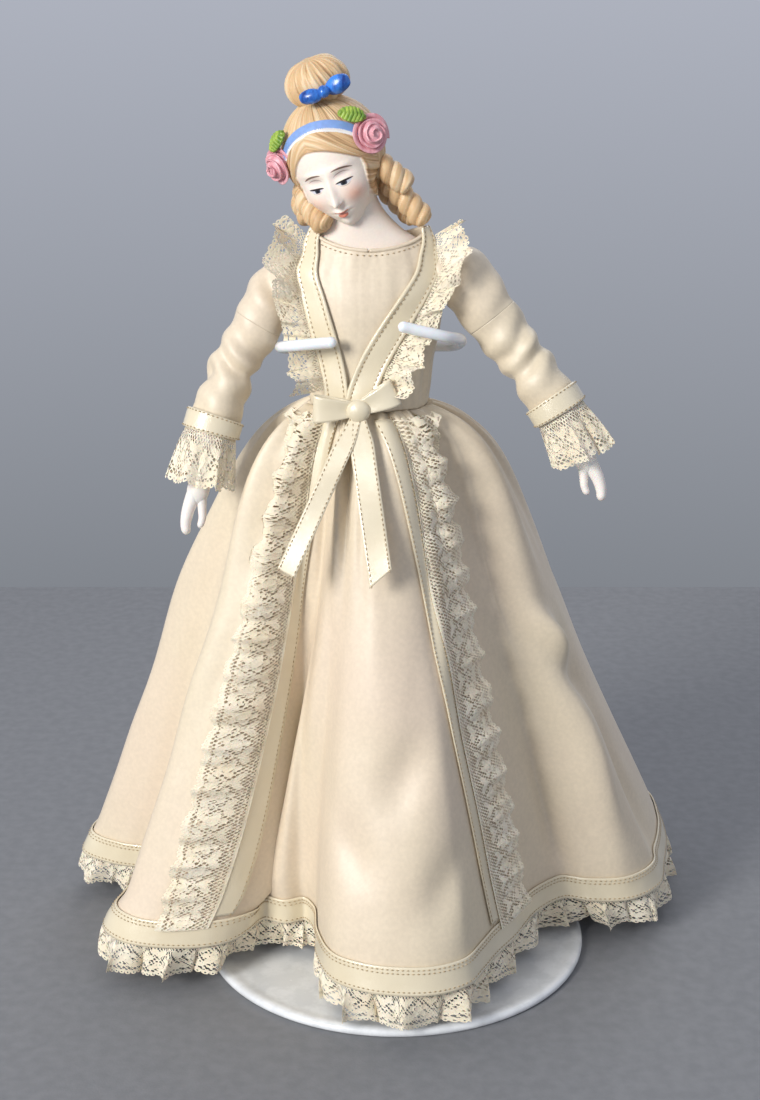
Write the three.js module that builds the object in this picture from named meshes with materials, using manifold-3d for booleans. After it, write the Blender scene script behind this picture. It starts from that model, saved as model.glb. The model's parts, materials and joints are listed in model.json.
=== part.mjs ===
// A porcelain lady doll in a full satin gown, held by the waist clip of a white display stand.
// Millimetres, +Z up. The origin is the centre of the stand base's underside. The doll faces -Y,
// so its own left side is towards +X.
import * as THREE from 'three';
import { mergeVertices } from 'three/addons/utils/BufferGeometryUtils.js';
import Module from 'manifold-3d';

const wasm = await Module();
wasm.setup();

const { sin, cos, atan2, hypot, sqrt, exp, min, max, round, PI } = Math;
const { lerp, clamp, degToRad } = THREE.MathUtils;
const vec = (x, y, z) => new THREE.Vector3(x, y, z);

// ---------------------------------------------------------------- driving dimensions
const GAP = 0.35;                                    // clearance between neighbours
const BASE = { radius: 54, thickness: 2, rim: 2.4 };
const POST = { x: -7, y: 17, radius: 3, bore: 2.3, top: 118, plug: 11 };
const SCREW = { shank: 1.5, clearance: 1.85, head: 3.5, recess: 1.4, top: 9.5 };
const ROD = { radius: 1.7, bottom: 40, top: 171 };
const CLIP = { wire: 0.8, sleeve: 1.6, bore: 1.15 };
const CLAMP = { width: 10, front: 11.5, back: 20.5, bottom: 166, top: 173, wireY: 13.5, wireZ: 169.5 };
const DOLL = { x: -7, y: -2 };                       // the doll's own upright axis
const HEAD = { place: [-15.2, -4.5, 220.4], bow: 10, lean: -17, turn: -15 };
const CLOTH = 1;                                     // thickness of every cloth stand-in
const TRIM = 0.7;                                    // thickness of ribbons and laces
const WAIST = { z: 158, across: 15, deep: 12 };
const HEM = { z: 3.6, lace: 0.935, satin: 0.93, ribbon: 0.882 };
const HIP = { spacing: 7, z: 121 };
const KNEE = { z: 65.5 };
const SOLE_Z = 5.8;

// Half sizes of the body and of the bodice at each height: [z, across, deep].
const TORSO = [
  [117, 12, 9], [124, 14.5, 11], [138, 15, 10.5], [148, 12.5, 9.5],
  [159, 11, 8.5], [168, 12.5, 9], [180, 15, 9.6], [188.4, 16, 9.2],
];
const BODICE = [
  [159, 15, 12], [168, 16, 11.5], [178, 18, 12], [188, 19, 11.5],
  [194, 19, 9.8], [198, 17, 8.4], [201, 13.5, 6.9],
];
const SHOULDER_PLATE = [
  [188.8, 16.5, 9.2], [194, 16.4, 7.8], [198, 14.2, 6.4], [201, 10.4, 5.2], [204, 6.4, 4.9], [212, 5, 4.8],
];

// The arms: shoulder and elbow pivots, then the forearm's line to the fingertips. The distances
// along the forearm say where the lower sleeve and the lace cuff end.
const ARMS = {
  right: {
    side: -1, shoulder: [-29.5, -1, 190], elbow: [-42, -3.5, 169], armhole: -26.7,
    line: [[-47.8, -8, 154], [-51.5, -11, 139], [-54, -13, 125.6]],
    sleeveEnd: 19.5, laceEnd: 32,
  },
  left: {
    side: 1, shoulder: [16.5, -1, 191], elbow: [32.5, -4, 171], armhole: 12.7,
    line: [[41.4, -8, 158.8], [49.2, -10, 145], [52.3, -12, 134.5]],
    sleeveEnd: 18, laceEnd: 30,
  },
};

// The two arms of the waist clip, from behind the waist, under the doll's arms to the bodice front.
const CLIP_ARMS = {
  right: [[-24, 10, 170.5], [-27.6, 4, 171.5], [-28.3, -3, 172.6], [-29.3, -9.8, 174.2],
    [-26.5, -15, 176], [-17.5, -17.6, 177.3]],
  left: [[10, 9.8, 171], [14.5, 3, 172.5], [16.2, -4, 174.5], [16.2, -9.8, 176.6],
    [12, -15.9, 178.6], [2.4, -18.2, 181.2]],
};

// The outline of the gown's lower edge, seen from above: front, left side, back, right side.
const HEM_OUTLINE = [
  [1, -59], [11, -58.5], [19.5, -54], [24, -46], [28, -38], [34, -28], [42, -12], [51, -4], [60, -6],
  [71, -5], [80, 3], [84, 19], [87, 38], [85, 58], [71, 71], [52, 76], [32, 70], [10, 77], [-14, 72],
  [-38, 77], [-60, 70], [-80, 58], [-92, 42], [-98, 26], [-88, 18], [-74, 13], [-70, 2], [-79, -10],
  [-85, -21], [-77, -31], [-62, -34], [-51, -32], [-43.5, -24], [-38, -17], [-31, -19], [-25.5, -17],
  [-22, -23], [-21, -38], [-16.5, -51], [-8, -57],
];

// ---------------------------------------------------------------- shape helpers
const X_AXIS = vec(1, 0, 0);
const Z_AXIS = vec(0, 0, 1);

// Moves every vertex of a geometry to place(x, y, z).
function warp(geometry, place) {
  const position = geometry.attributes.position;
  for (let i = 0; i < position.count; i++) {
    const p = place(position.getX(i), position.getY(i), position.getZ(i));
    position.setXYZ(i, p.x, p.y, p.z);
  }
  return geometry;
}

const turnOf = (x, z) => round(atan2(x, z) * 1e6) / 1e6;

// The unit normal of a surface given as place(u, v), from its neighbouring points.
function normalOf(place, u, v) {
  const step = 1e-3;
  const alongU = place(u + step, v).sub(place(u - step, v));
  const alongV = place(u, v + step).sub(place(u, v - step));
  return alongU.cross(alongV).normalize();
}

// A closed band of cloth around the doll: place(turn, t) is its middle surface, with turn in
// radians from the front towards the doll's left and t from 0 at its lower edge to 1 at the top.
function band(place, thickness, sides, steps) {
  const profile = [];
  for (let i = 0; i <= steps; i++) profile.push(new THREE.Vector2(2, i / steps));
  for (let i = steps; i >= 0; i--) profile.push(new THREE.Vector2(1, i / steps));
  profile.push(profile[0].clone());
  return warp(new THREE.LatheGeometry(profile, sides), (x, t, z) => {
    const turn = turnOf(x, z);
    const outward = round(hypot(x, z)) - 1.5;
    return place(turn, t).addScaledVector(normalOf(place, turn, t), outward * thickness);
  });
}

// A thin strip whose middle surface is place(u, v), with u and v from 0 to 1.
function strip(place, thickness, across, along) {
  return warp(new THREE.BoxGeometry(1, 1, 1, across, along, 1), (x, y, z) => {
    const u = x + 0.5;
    const v = y + 0.5;
    return place(u, v).addScaledVector(normalOf(place, u, v), z * thickness);
  });
}

// A point beside a curve, at t along it and at a turn around it. The turn is measured from a
// reference direction that the curve never follows.
function around(curve, t, turn, across, deep, reference = X_AXIS) {
  const tangent = curve.getTangentAt(t);
  const side = reference.clone().addScaledVector(tangent, -tangent.dot(reference)).normalize();
  const front = side.clone().cross(tangent);
  return curve.getPointAt(t)
    .addScaledVector(side, across * sin(turn))
    .addScaledVector(front, deep * cos(turn));
}

// A solid limb along a stretch of a curve; size(t) gives its half sizes [across, deep].
function limb(curve, size, sides, steps, reference = X_AXIS, stretch = [0, 1]) {
  const profile = [new THREE.Vector2(0, 0)];
  for (let i = 0; i <= steps; i++) profile.push(new THREE.Vector2(1, i / steps));
  profile.push(new THREE.Vector2(0, 1));
  return warp(new THREE.LatheGeometry(profile, sides), (x, t, z) => {
    const [across, deep] = size(t);
    const r = hypot(x, z);
    return around(curve, lerp(...stretch, t), turnOf(x, z), across * r, deep * r, reference);
  });
}

// A radius that closes to a round end of the given share of the length, at both ends.
const roundEnds = (t, share) => sqrt(max(0.02, 1 - (max(share - t, t - 1 + share, 0) / share) ** 2));

// The half sizes in a table of [z, across, deep] rows, at a height.
function sizeAt(rows, z) {
  const i = clamp(rows.findIndex((row) => row[0] >= z), 1, rows.length - 1);
  const [from, to] = [rows[i - 1], rows[i]];
  const t = clamp((z - from[0]) / (to[0] - from[0]), -0.05, 1.05);
  return [lerp(from[1], to[1], t), lerp(from[2], to[2], t)];
}

// An upright solid through a table of rows.
function upright(rows, sides, centre) {
  const profile = [new THREE.Vector2(0, rows[0][0])];
  for (const [z] of rows) profile.push(new THREE.Vector2(1, z));
  profile.push(new THREE.Vector2(0, rows.at(-1)[0]));
  return warp(new THREE.LatheGeometry(profile, sides), (x, z, y) => {
    const [across, deep] = sizeAt(rows, z);
    const [cx, cy] = centre(z);
    return vec(cx + across * x, cy - deep * y, z);
  });
}

function ellipsoid(centre, half, sides = 14, rings = 9) {
  return new THREE.SphereGeometry(1, sides, rings).scale(...half).translate(...centre);
}

function lathe(points, sides) {
  const outline = points.map(([r, z]) => new THREE.Vector2(r, z));
  return new THREE.LatheGeometry(outline, sides).rotateX(PI / 2);
}

const curveOf = (points) => new THREE.CatmullRomCurve3(points.map((p) => vec(...p)), false, 'centripetal');

// ---------------------------------------------------------------- joining and cutting
function solid(geometry) {
  const plain = geometry.clone();
  plain.deleteAttribute('normal');
  plain.deleteAttribute('uv');
  const merged = mergeVertices(plain, 1e-4);
  const corners = merged.index.array;
  const kept = [];
  for (let i = 0; i < corners.length; i += 3) {
    const [a, b, c] = corners.slice(i, i + 3);
    if (a !== b && b !== c && c !== a) kept.push(a, b, c);
  }
  const vertProperties = new Float32Array(merged.attributes.position.array);
  return new wasm.Manifold(new wasm.Mesh({ numProp: 3, vertProperties, triVerts: new Uint32Array(kept) }));
}

function geometryOf(manifold) {
  const mesh = manifold.getMesh();
  const geometry = new THREE.BufferGeometry();
  geometry.setAttribute('position', new THREE.BufferAttribute(mesh.vertProperties, 3));
  geometry.setIndex(new THREE.BufferAttribute(mesh.triVerts, 1));
  geometry.computeVertexNormals();
  return geometry;
}

const join = (...parts) => geometryOf(parts.map(solid).reduce((a, b) => a.add(b)));
const cut = (part, ...tools) => geometryOf(tools.map(solid).reduce((a, b) => a.subtract(b), solid(part)));

// ---------------------------------------------------------------- materials
const material = (color, roughness, metalness = 0) =>
  new THREE.MeshStandardMaterial({ color, roughness, metalness });
const ENAMEL = material(0xf2f3f1, 0.3);
const STEEL = material(0xb9bbbd, 0.35, 1);
const VINYL = material(0xf4f6f6, 0.25);
const BISQUE = material(0xf3e6db, 0.55);
const PINK = material(0xe39aa4, 0.5);
const GREEN = material(0x9dbb45, 0.5);
const BLUE = material(0x2f7fd8, 0.35);
const MUSLIN = material(0xefe6d6, 0.9);
const SATIN = material(0xecd9ba, 0.4);
const RIBBON = material(0xefe4c6, 0.3);
const LACE = material(0xf0e2c4, 0.85);

const doll = new THREE.Group();
function add(name, geometry, look, parent = doll) {
  const mesh = new THREE.Mesh(geometry, look);
  mesh.name = name;
  parent.add(mesh);
  return mesh;
}

// ---------------------------------------------------------------- stand
function makeStand() {
  const { radius, thickness, rim } = BASE;
  const disc = lathe([
    [0, 0], [radius - 1, 0], [radius, 0.7], [radius, 1.7], [radius - 1, rim], [radius - 3, rim],
    [radius - 4.5, thickness], [0, thickness],
  ], 40);
  const recessRadius = SCREW.head + 0.8;
  const recess = lathe([[0, -1], [recessRadius, -1], [recessRadius, SCREW.recess], [0, SCREW.recess]], 24);
  const hole = lathe([[0, -1], [SCREW.clearance, -1], [SCREW.clearance, 4], [0, 4]], 24);
  add('base_disc', cut(disc, recess.translate(POST.x, POST.y, 0), hole.translate(POST.x, POST.y, 0)), ENAMEL);

  const post = new THREE.Group();
  post.position.set(POST.x, POST.y, 0);
  doll.add(post);
  const screw = lathe([
    [0, 0.1], [SCREW.head, 0.1], [SCREW.head, 1],
    [SCREW.shank, 1.1], [SCREW.shank, SCREW.top], [0, SCREW.top],
  ], 16);
  const slot = new THREE.BoxGeometry(2 * SCREW.head + 1, 0.9, 0.9).translate(0, 0, 0.1);
  add('base_screw', cut(screw, slot), STEEL, post);

  const foot = thickness + GAP;
  add('post_tube', lathe([
    [SCREW.clearance, foot], [POST.radius, foot], [POST.radius, POST.top], [POST.bore, POST.top],
    [POST.bore, POST.plug], [SCREW.clearance, POST.plug], [SCREW.clearance, foot],
  ], 20), ENAMEL, post);
  const collarBore = ROD.radius + 0.15;
  add('post_grommet', lathe([
    [collarBore, POST.top - 6], [POST.bore - 0.15, POST.top - 6], [POST.bore - 0.15, POST.top + 0.3],
    [POST.radius + 0.6, POST.top + 0.3], [POST.radius + 0.6, POST.top + 3.6], [POST.radius, POST.top + 4.2],
    [collarBore, POST.top + 4.2], [collarBore, POST.top - 6],
  ], 20), VINYL, post);
  const rod = [[0, ROD.bottom], [ROD.radius, ROD.bottom], [ROD.radius, ROD.top], [0, ROD.top]];
  add('inner_rod', lathe(rod, 16), STEEL, post);
}

function makeClip() {
  const { width, front, back, bottom, top, wireY, wireZ } = CLAMP;
  const block = new THREE.BoxGeometry(width, back - front, top - bottom)
    .translate(POST.x, (front + back) / 2, (bottom + top) / 2);
  const rodRadius = ROD.radius + 0.3;
  const rodHole = lathe([[0, 0], [rodRadius, 0], [rodRadius, ROD.top + 0.3], [0, ROD.top + 0.3]], 16);
  const wireHole = new THREE.CylinderGeometry(CLIP.bore, CLIP.bore, 2 * width, 12);
  wireHole.rotateZ(PI / 2).translate(POST.x, wireY, wireZ);
  add('clip_clamp', cut(block, rodHole.translate(POST.x, POST.y, 0), wireHole), ENAMEL);

  const mouth = width / 2 + 1;
  const paths = Object.fromEntries(Object.entries(CLIP_ARMS).map(([name, arm]) => {
    const sign = name === 'left' ? 1 : -1;
    const start = [mouth, mouth + 3].map((x) => [POST.x + sign * x, wireY, wireZ]);
    return [name, [...start, ...arm]];
  }));
  const wire = curveOf([...[...paths.right].reverse(), [POST.x, wireY, wireZ], ...paths.left]);
  const section = new THREE.Shape().absarc(0, 0, CLIP.wire, 0, 2 * PI);
  const alongWire = { extrudePath: wire, steps: 40, curveSegments: 3 };
  add('clip_wire', new THREE.ExtrudeGeometry(section, alongWire), STEEL);

  for (const [name, path] of Object.entries(paths)) {
    const end = vec(...path.at(-1));
    const tip = end.clone().sub(vec(...path.at(-2))).setLength(2.4).add(end);
    const line = curveOf([...path, tip.toArray()]);
    const radius = (t) => CLIP.sleeve * (t > 0.5 ? roundEnds(t, 0.05) : 1);
    const outside = limb(line, (t) => Array(2).fill(radius(t)), 7, 25, Z_AXIS, [0.02, 1]);
    const hollow = limb(line, () => [CLIP.bore, CLIP.bore], 7, 25, Z_AXIS, [0, 0.96]);
    add(`clip_sleeve_${name}`, cut(outside, hollow), VINYL);
  }
}

// ---------------------------------------------------------------- porcelain and cloth body
const headTurn = new THREE.Euler(degToRad(HEAD.bow), degToRad(HEAD.lean), degToRad(HEAD.turn), 'YZX');

function makeHead() {
  const head = new THREE.Group();
  head.position.set(...HEAD.place);
  head.rotation.copy(headTurn);
  doll.add(head);
  head.updateMatrix();

  const hair = ellipsoid([0, 1.6, 3], [12.4, 12.6, 13.2]);
  const face = ellipsoid([0, -4, -3.2], [8.8, 8.4, 11.4]);
  const nose = ellipsoid([0, -12.2, -4.4], [1.3, 1.4, 2.4], 6, 4);
  const bun = ellipsoid([0.5, 4.5, 20.5], [8, 7.4, 6.2]);
  const tilted = [hair, face, nose, bun].map((part) => part.applyMatrix4(head.matrix));
  const top = SHOULDER_PLATE.at(-1)[0];
  const plate = upright(SHOULDER_PLATE, 20, (z) => [
    lerp(DOLL.x, HEAD.place[0] + 3, max(0, (z - 198) / (top - 198))),
    lerp(DOLL.y, HEAD.place[1] + 1, max(0, (z - 198) / (top - 198))),
  ]);
  const ringlets = [
    [[-23, 0, 219], [-22.5, -5, 210.5], [-17.5, -9, 204.8]],
    [[-20, 4, 219], [-24, 1.5, 210.5], [-21.5, -1, 205]],
    [[-8, -4, 223], [-2.6, -6, 215.5], [1.5, -7, 209.5]],
    [[-8, 2, 222], [-1, -1, 213], [4.5, -4, 204.4]],
    [[-9, 5, 220], [-2, 4, 211], [2, 1, 204.6]],
  ].map((line) => limb(curveOf(line), (t) => Array(2).fill(2.7 * roundEnds(t, 0.25)), 7, 6));
  add('porcelain_head', join(plate, ...tilted, ...ringlets), BISQUE);

  // The bow and the roses are pressed from clay and fired on, so they sit on the hair.
  const bowLoops = [-1, 1].map((side) => ellipsoid([2 + 3.4 * side, -5.4, 17.6], [3.2, 1.7, 2.6], 8, 6));
  const knot = ellipsoid([2, -5.6, 17.4], [1.6, 1.8, 2], 8, 6);
  add('hair_bow', cut(join(knot, ...bowLoops), hairBall(), bunBall()), BLUE, head);
  for (const [name, side] of [['left', 1], ['right', -1]]) {
    const rose = ellipsoid([12.6 * side, -4.6, 5.2], [4.6, 4.4, 4.6], 12, 8);
    const leaf = ellipsoid([10.4 * side, -4.6, 12], [2.8, 3, 2.2], 10, 6);
    add(`rose_${name}`, cut(rose, hairBall()), PINK, head);
    const behindRose = ellipsoid([12.6 * side, -4.6, 5.2], [5, 4.8, 5], 12, 8);
    add(`rose_leaf_${name}`, cut(leaf, hairBall(), behindRose), GREEN, head);
  }
}

// The hair and the bun, a gap larger, for cutting what sits on them.
const hairBall = () => ellipsoid([0, 1.6, 3], [12.4 + GAP, 12.6 + GAP, 13.2 + GAP]);
const bunBall = () => ellipsoid([0.5, 4.5, 20.5], [8 + GAP, 7.4 + GAP, 6.2 + GAP]);

function makeBody() {
  add('torso', upright(TORSO, 16, () => [DOLL.x, DOLL.y]), MUSLIN);
  for (const [name, side] of [['left', 1], ['right', -1]]) {
    const x = DOLL.x + side * HIP.spacing;
    const roundTop = (t) => (t < 0.5 ? roundEnds(t, 0.15) : 1);
    const thighSize = (t) => [lerp(6, 4.6, t), lerp(6.4, 4.8, t)].map((half) => half * roundTop(t));
    const thigh = curveOf([[x, DOLL.y, HIP.z - 5], [x, DOLL.y, 90], [x, DOLL.y, KNEE.z + GAP]]);
    add(`thigh_${name}`, limb(thigh, thighSize, 10, 6), MUSLIN);
    const shin = curveOf([[x, DOLL.y, KNEE.z], [x, DOLL.y, 45], [x, DOLL.y, 26], [x, DOLL.y, 10]]);
    const calf = (t) => Array(2).fill(3 + 1.8 * exp(-(((t - 0.3) / 0.3) ** 2)));
    const shoe = ellipsoid([x, DOLL.y - 5.5, SOLE_Z + 3.4], [3.3, 9, 3.4], 10, 8);
    add(`lower_leg_${name}`, join(limb(shin, calf, 10, 6), shoe), BISQUE);
  }
}

// ---------------------------------------------------------------- arms and sleeves
const armCurve = ({ elbow, line }) => curveOf([elbow, ...line]);

function makeArm(name, arm) {
  const { side, shoulder, elbow, armhole } = arm;
  const upper = new THREE.LineCurve3(vec(...shoulder), vec(...elbow));
  const length = upper.getLength();
  const lower = armCurve(arm);
  const reach = lower.getLength();

  // Everything towards the doll from the armhole's plane is cut off, so that the sleeve head
  // turns beside the bodice.
  const block = 60;
  const inner = (offset) => new THREE.BoxGeometry(block, block, block)
    .translate(armhole - side * (block / 2 - offset), shoulder[1], shoulder[2]);

  const clothArm = limb(new THREE.LineCurve3(upper.getPointAt(0), upper.getPointAt(1 - 2.6 / length)),
    (t) => Array(2).fill(4.6 * sqrt(min(1, 0.3 + 4 * t))), 10, 4);
  add(`upper_arm_${name}`, cut(clothArm, inner(0.3)), MUSLIN);

  const headRadius = 7.6;
  const cuffGap = 3.3;
  const sleeveSize = (t, inset) => {
    const fromTop = t * (length - cuffGap + headRadius) - headRadius;
    const domed = sqrt(max(0.5, (headRadius - inset) ** 2 - fromTop ** 2));
    return Array(2).fill(fromTop < 0 ? domed : lerp(headRadius, 7, t) - inset);
  };
  const sleeveLine = new THREE.LineCurve3(upper.getPointAt(0).lerp(upper.getPointAt(1), -headRadius / length),
    upper.getPointAt(1 - cuffGap / length));
  const hollowLine = new THREE.LineCurve3(sleeveLine.getPointAt(0.04), upper.getPointAt(1));
  const upperSleeve = cut(limb(sleeveLine, (t) => sleeveSize(t, 0), 12, 6),
    limb(hollowLine, (t) => sleeveSize(t, 1.2), 12, 6), inner(0));
  add(`upper_sleeve_${name}`, upperSleeve, SATIN);

  const stretch = (from, to) => (t) => (from + (to - from) * t) / reach;
  const tube = (from, to, radius, thickness, sides, steps, ruffle = () => 0) => {
    const at = stretch(from, to);
    const surface = (turn, t) => {
      const r = radius(t) + ruffle(turn, t);
      return around(lower, clamp(at(1 - t), 0, 1), -turn, r, r);
    };
    return band(surface, thickness, sides, steps);
  };
  add(`lower_sleeve_${name}`, tube(cuffGap, arm.sleeveEnd, (t) => lerp(6.9, 7, t), CLOTH, 12, 3), SATIN);
  const cuffRadius = 7 + CLOTH / 2 + GAP + TRIM / 2;
  const cuffRibbon = tube(arm.sleeveEnd - 5, arm.sleeveEnd - 0.8, () => cuffRadius, TRIM, 12, 1);
  add(`cuff_ribbon_${name}`, cuffRibbon, RIBBON);
  const ruffle = (turn, t) => 0.8 * (1 - t) * sin(9 * turn);
  const flare = (t) => lerp(9.2, 7, t);
  const cuffLace = tube(arm.sleeveEnd + GAP, arm.laceEnd, flare, TRIM, 36, 1, ruffle);
  add(`cuff_lace_${name}`, cuffLace, LACE);

  add(`forearm_${name}`, join(...handAndForearm(lower, reach, side)), BISQUE);
}

// A porcelain forearm that ends in a mitten hand: the fingers in one, and the thumb apart.
function handAndForearm(lower, reach, side) {
  const wrist = 0.76;
  const start = 2.6 / reach;
  const at = (t, across, forward) => lower.getPointAt(t).add(vec(across, forward, 0)).toArray();
  const bone = curveOf([at(start, 0, 0), at(0.4, 0, 0), at(wrist, 0, 0)]);
  const fingers = curveOf([at(wrist - 0.05, 0, 0), at(0.86, side * 1.6, -0.3), at(1, side * 1.2, -0.4)]);
  const thumb = curveOf([at(wrist - 0.05, 0, 0), at(0.86, -side * 1.9, -0.3), at(0.95, -side * 2.3, -0.6)]);
  return [
    limb(bone, (t) => Array(2).fill(lerp(4.2, 2.9, t)), 10, 4),
    limb(fingers, (t) => [1.5 * roundEnds(t, 0.25), 2 * roundEnds(t, 0.25)], 7, 6),
    limb(thumb, (t) => Array(2).fill(1.2 * roundEnds(t, 0.25)), 7, 6),
  ];
}

// ---------------------------------------------------------------- bodice and its trim
// The bodice's surface, offset outwards, at a turn from the front and a height.
function onBodice(turn, z, offset = 0) {
  const [across, deep] = sizeAt(BODICE, z);
  return vec(DOLL.x + (across + offset) * sin(turn), DOLL.y - (deep + offset) * cos(turn), z);
}

function makeBodice() {
  const [low, high] = [BODICE[0][0], BODICE.at(-1)[0]];
  const shell = band((turn, t) => onBodice(turn, lerp(low, high, t), -CLOTH / 2), CLOTH, 20, 6);
  const armholes = Object.values(ARMS).map(({ shoulder, armhole }) => {
    const hole = new THREE.CylinderGeometry(6, 6, 12, 14).rotateZ(PI / 2);
    return hole.translate(armhole, shoulder[1], shoulder[2] - 2);
  });
  add('bodice', cut(shell, ...armholes), SATIN);

  const trimOffset = GAP + 0.6;
  for (const [name, side] of [['left', 1], ['right', -1]]) {
    // Each ribbon runs from the shoulder to the point at the waist; u is across it, v is up it.
    const middle = (v) => [lerp(-0.35 + side * 0.2, side * 1.05, max(0, v) ** 0.9), lerp(161.5, 199.2, v)];
    const place = (across) => (u, v) => {
      const [turn, z] = middle(v);
      return onBodice(turn + across(u) / 15, z, trimOffset);
    };
    add(`bodice_ribbon_${name}`, strip(place((u) => lerp(-2.1, 2.1, u)), TRIM, 2, 10), RIBBON);
    const frill = (u, up) => {
      const v = lerp(0.18, 1, up);
      const [turn, z] = middle(v);
      const flat = onBodice(turn + side * 3.1 / 15, z + 0.6, trimOffset);
      const reach = lerp(4, 10, v) * (side > 0 ? u : 1 - u);
      const rise = lerp(0.1, 0.9, v ** 2);
      // The clip's arms press the lace flat where they cross it.
      const free = clamp(Math.abs(z - CLIP_ARMS[name].at(-1)[2]) / 12, 0.04, 1);
      const wave = 0.9 * free * (side > 0 ? u : 1 - u) * sin(v * 26);
      const forward = reach * (0.9 - 0.45 * rise) * free;
      return flat.add(vec(side * reach * (0.8 - 0.15 * rise), wave - forward, reach * rise));
    };
    add(`shoulder_frill_${name}`, strip(frill, TRIM, 2, 24), LACE);
  }

  for (let i = 0; i < 3; i++) {
    const snap = new THREE.CylinderGeometry(1.6, 1.8, 0.8, 14);
    const z = 176 + 9 * i;
    const [, deep] = sizeAt(BODICE, z);
    add(`back_snap_${i + 1}`, snap.translate(DOLL.x, DOLL.y + deep + 1.1, z), STEEL);
  }
}

// ---------------------------------------------------------------- skirt and its trim
const hemCurve = new THREE.CatmullRomCurve3(HEM_OUTLINE.map(([x, y]) => vec(x, y, 0)), true, 'centripetal');
hemCurve.arcLengthDivisions = 600;
const around01 = (u) => u - Math.floor(u);

// How far the skirt has spread from the waist to the hem, at a share of the way down: the gathers
// at the waistband spring out first, and the rest falls in a straight flare.
const spread = (down) => 0.17 * (1 - exp(-down / 0.04)) + 0.83 * down;

// The skirt's middle surface: turn is in radians around the waist, down runs from 0 to 1.
function onSkirt(turn, down, offset = 0) {
  const place = (a, d) => {
    const hem = hemCurve.getPointAt(around01(a / (2 * PI)));
    const out = spread(d);
    return vec(
      lerp(DOLL.x + WAIST.across * sin(a), hem.x, out),
      lerp(DOLL.y - WAIST.deep * cos(a), hem.y, out),
      lerp(WAIST.z, HEM.z, d),
    );
  };
  const point = place(turn, down);
  return offset ? point.addScaledVector(normalOf((a, d) => place(a, -d), turn, -down), offset) : point;
}

const RIBBON_OFFSET = CLOTH / 2 + GAP + TRIM / 2;

function makeSkirt() {
  const panel = (top, bottom, offset = 0) => (turn, t) => onSkirt(turn, lerp(bottom, top, t), offset);
  // The dress opens at the back, where the stand's rod comes out of the skirt.
  const placket = new THREE.BoxGeometry(8, 30, 22).translate(POST.x, 24, 156);
  add('skirt', cut(band(panel(0, HEM.satin), CLOTH, 72, 7), placket), SATIN);
  add('hem_ribbon', band(panel(HEM.ribbon, HEM.satin - 0.004, RIBBON_OFFSET + 0.1), TRIM, 72, 1), RIBBON);
  const ruffled = (turn, t) => onSkirt(turn, lerp(1, HEM.lace, t), 1.2 * (1 - t) * sin(16 * turn) + 1e-6);
  add('hem_lace', band(ruffled, TRIM, 96, 1), LACE);
}

// The two ribbons that run down the front of the skirt, each edged with gathered lace.
const SEAMS = {
  left: { side: 1, waist: 0.16, hem: 0.46, bow: 0.75, lift: 0.3 },
  right: { side: -1, waist: -0.62, hem: -1.02, bow: 0.8, lift: 0.9 },
};

function makeSeams() {
  for (const [name, { side, waist, hem, bow, lift }] of Object.entries(SEAMS)) {
    const turnAt = (down) => lerp(waist, hem, down ** bow);
    const place = (from, to, wave) => (u, v) => {
      const down = lerp(HEM.ribbon - 0.012, 0.05, v);
      const size = lerp(15, 90, spread(down));
      const across = lerp(from, to, u) * side;
      return onSkirt(turnAt(down) + across / size, down, RIBBON_OFFSET + lift + wave(u, v));
    };
    const order = (from, to) => (side > 0 ? [from, to] : [to, from]);
    add(`skirt_ribbon_${name}`, strip(place(...order(-2, 2), () => 0), TRIM, 1, 14), RIBBON);
    const outer = (u) => (side > 0 ? u : 1 - u);
    const ruffle = (u, v) => outer(u) * (1.2 + sin(v * 60));
    add(`skirt_lace_${name}`, strip(place(...order(4.6, 12), ruffle), TRIM, 1, 30), LACE);
  }
}

function makeBow() {
  const knotAt = [-13.3, -17.4, 160];
  const [x, y, z] = knotAt;
  const loop = (side, rise) => {
    const bend = [x + side * 6, y - 0.5, z + rise * 0.6];
    const middle = curveOf([[x, y, z], bend, [x + side * 11, y, z + rise]]);
    return limb(middle, (t) => [lerp(1.4, 3.4, t), lerp(1, 1.5, t) * roundEnds(t, 0.2)], 8, 4);
  };
  const tail = (endX, endZ, endY) => strip((u, v) => vec(
    lerp(endX, x, v) + lerp(-2.4, 2.4, u), lerp(endY, y, v) - 0.2, lerp(endZ, z - 1, v),
  ), TRIM, 1, 8);
  add('waist_bow', join(ellipsoid(knotAt, [2.4, 2, 2.4], 8, 6), loop(-1, 0.5), loop(1, 3.2),
    tail(-26, 116, -36), tail(-5.5, 116, -38)), RIBBON);
}

makeStand();
makeClip();
makeHead();
makeBody();
for (const [name, arm] of Object.entries(ARMS)) makeArm(name, arm);
makeBodice();
makeSkirt();
makeSeams();
makeBow();

export default doll;
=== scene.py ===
"""A porcelain lady doll in a lace-trimmed satin gown on its display stand.

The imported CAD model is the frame: every piece here takes its place from it. Shapes are worked
out in millimetres, in the frame's axes, and turned into metres when a mesh is made.
"""

import json
import math

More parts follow.
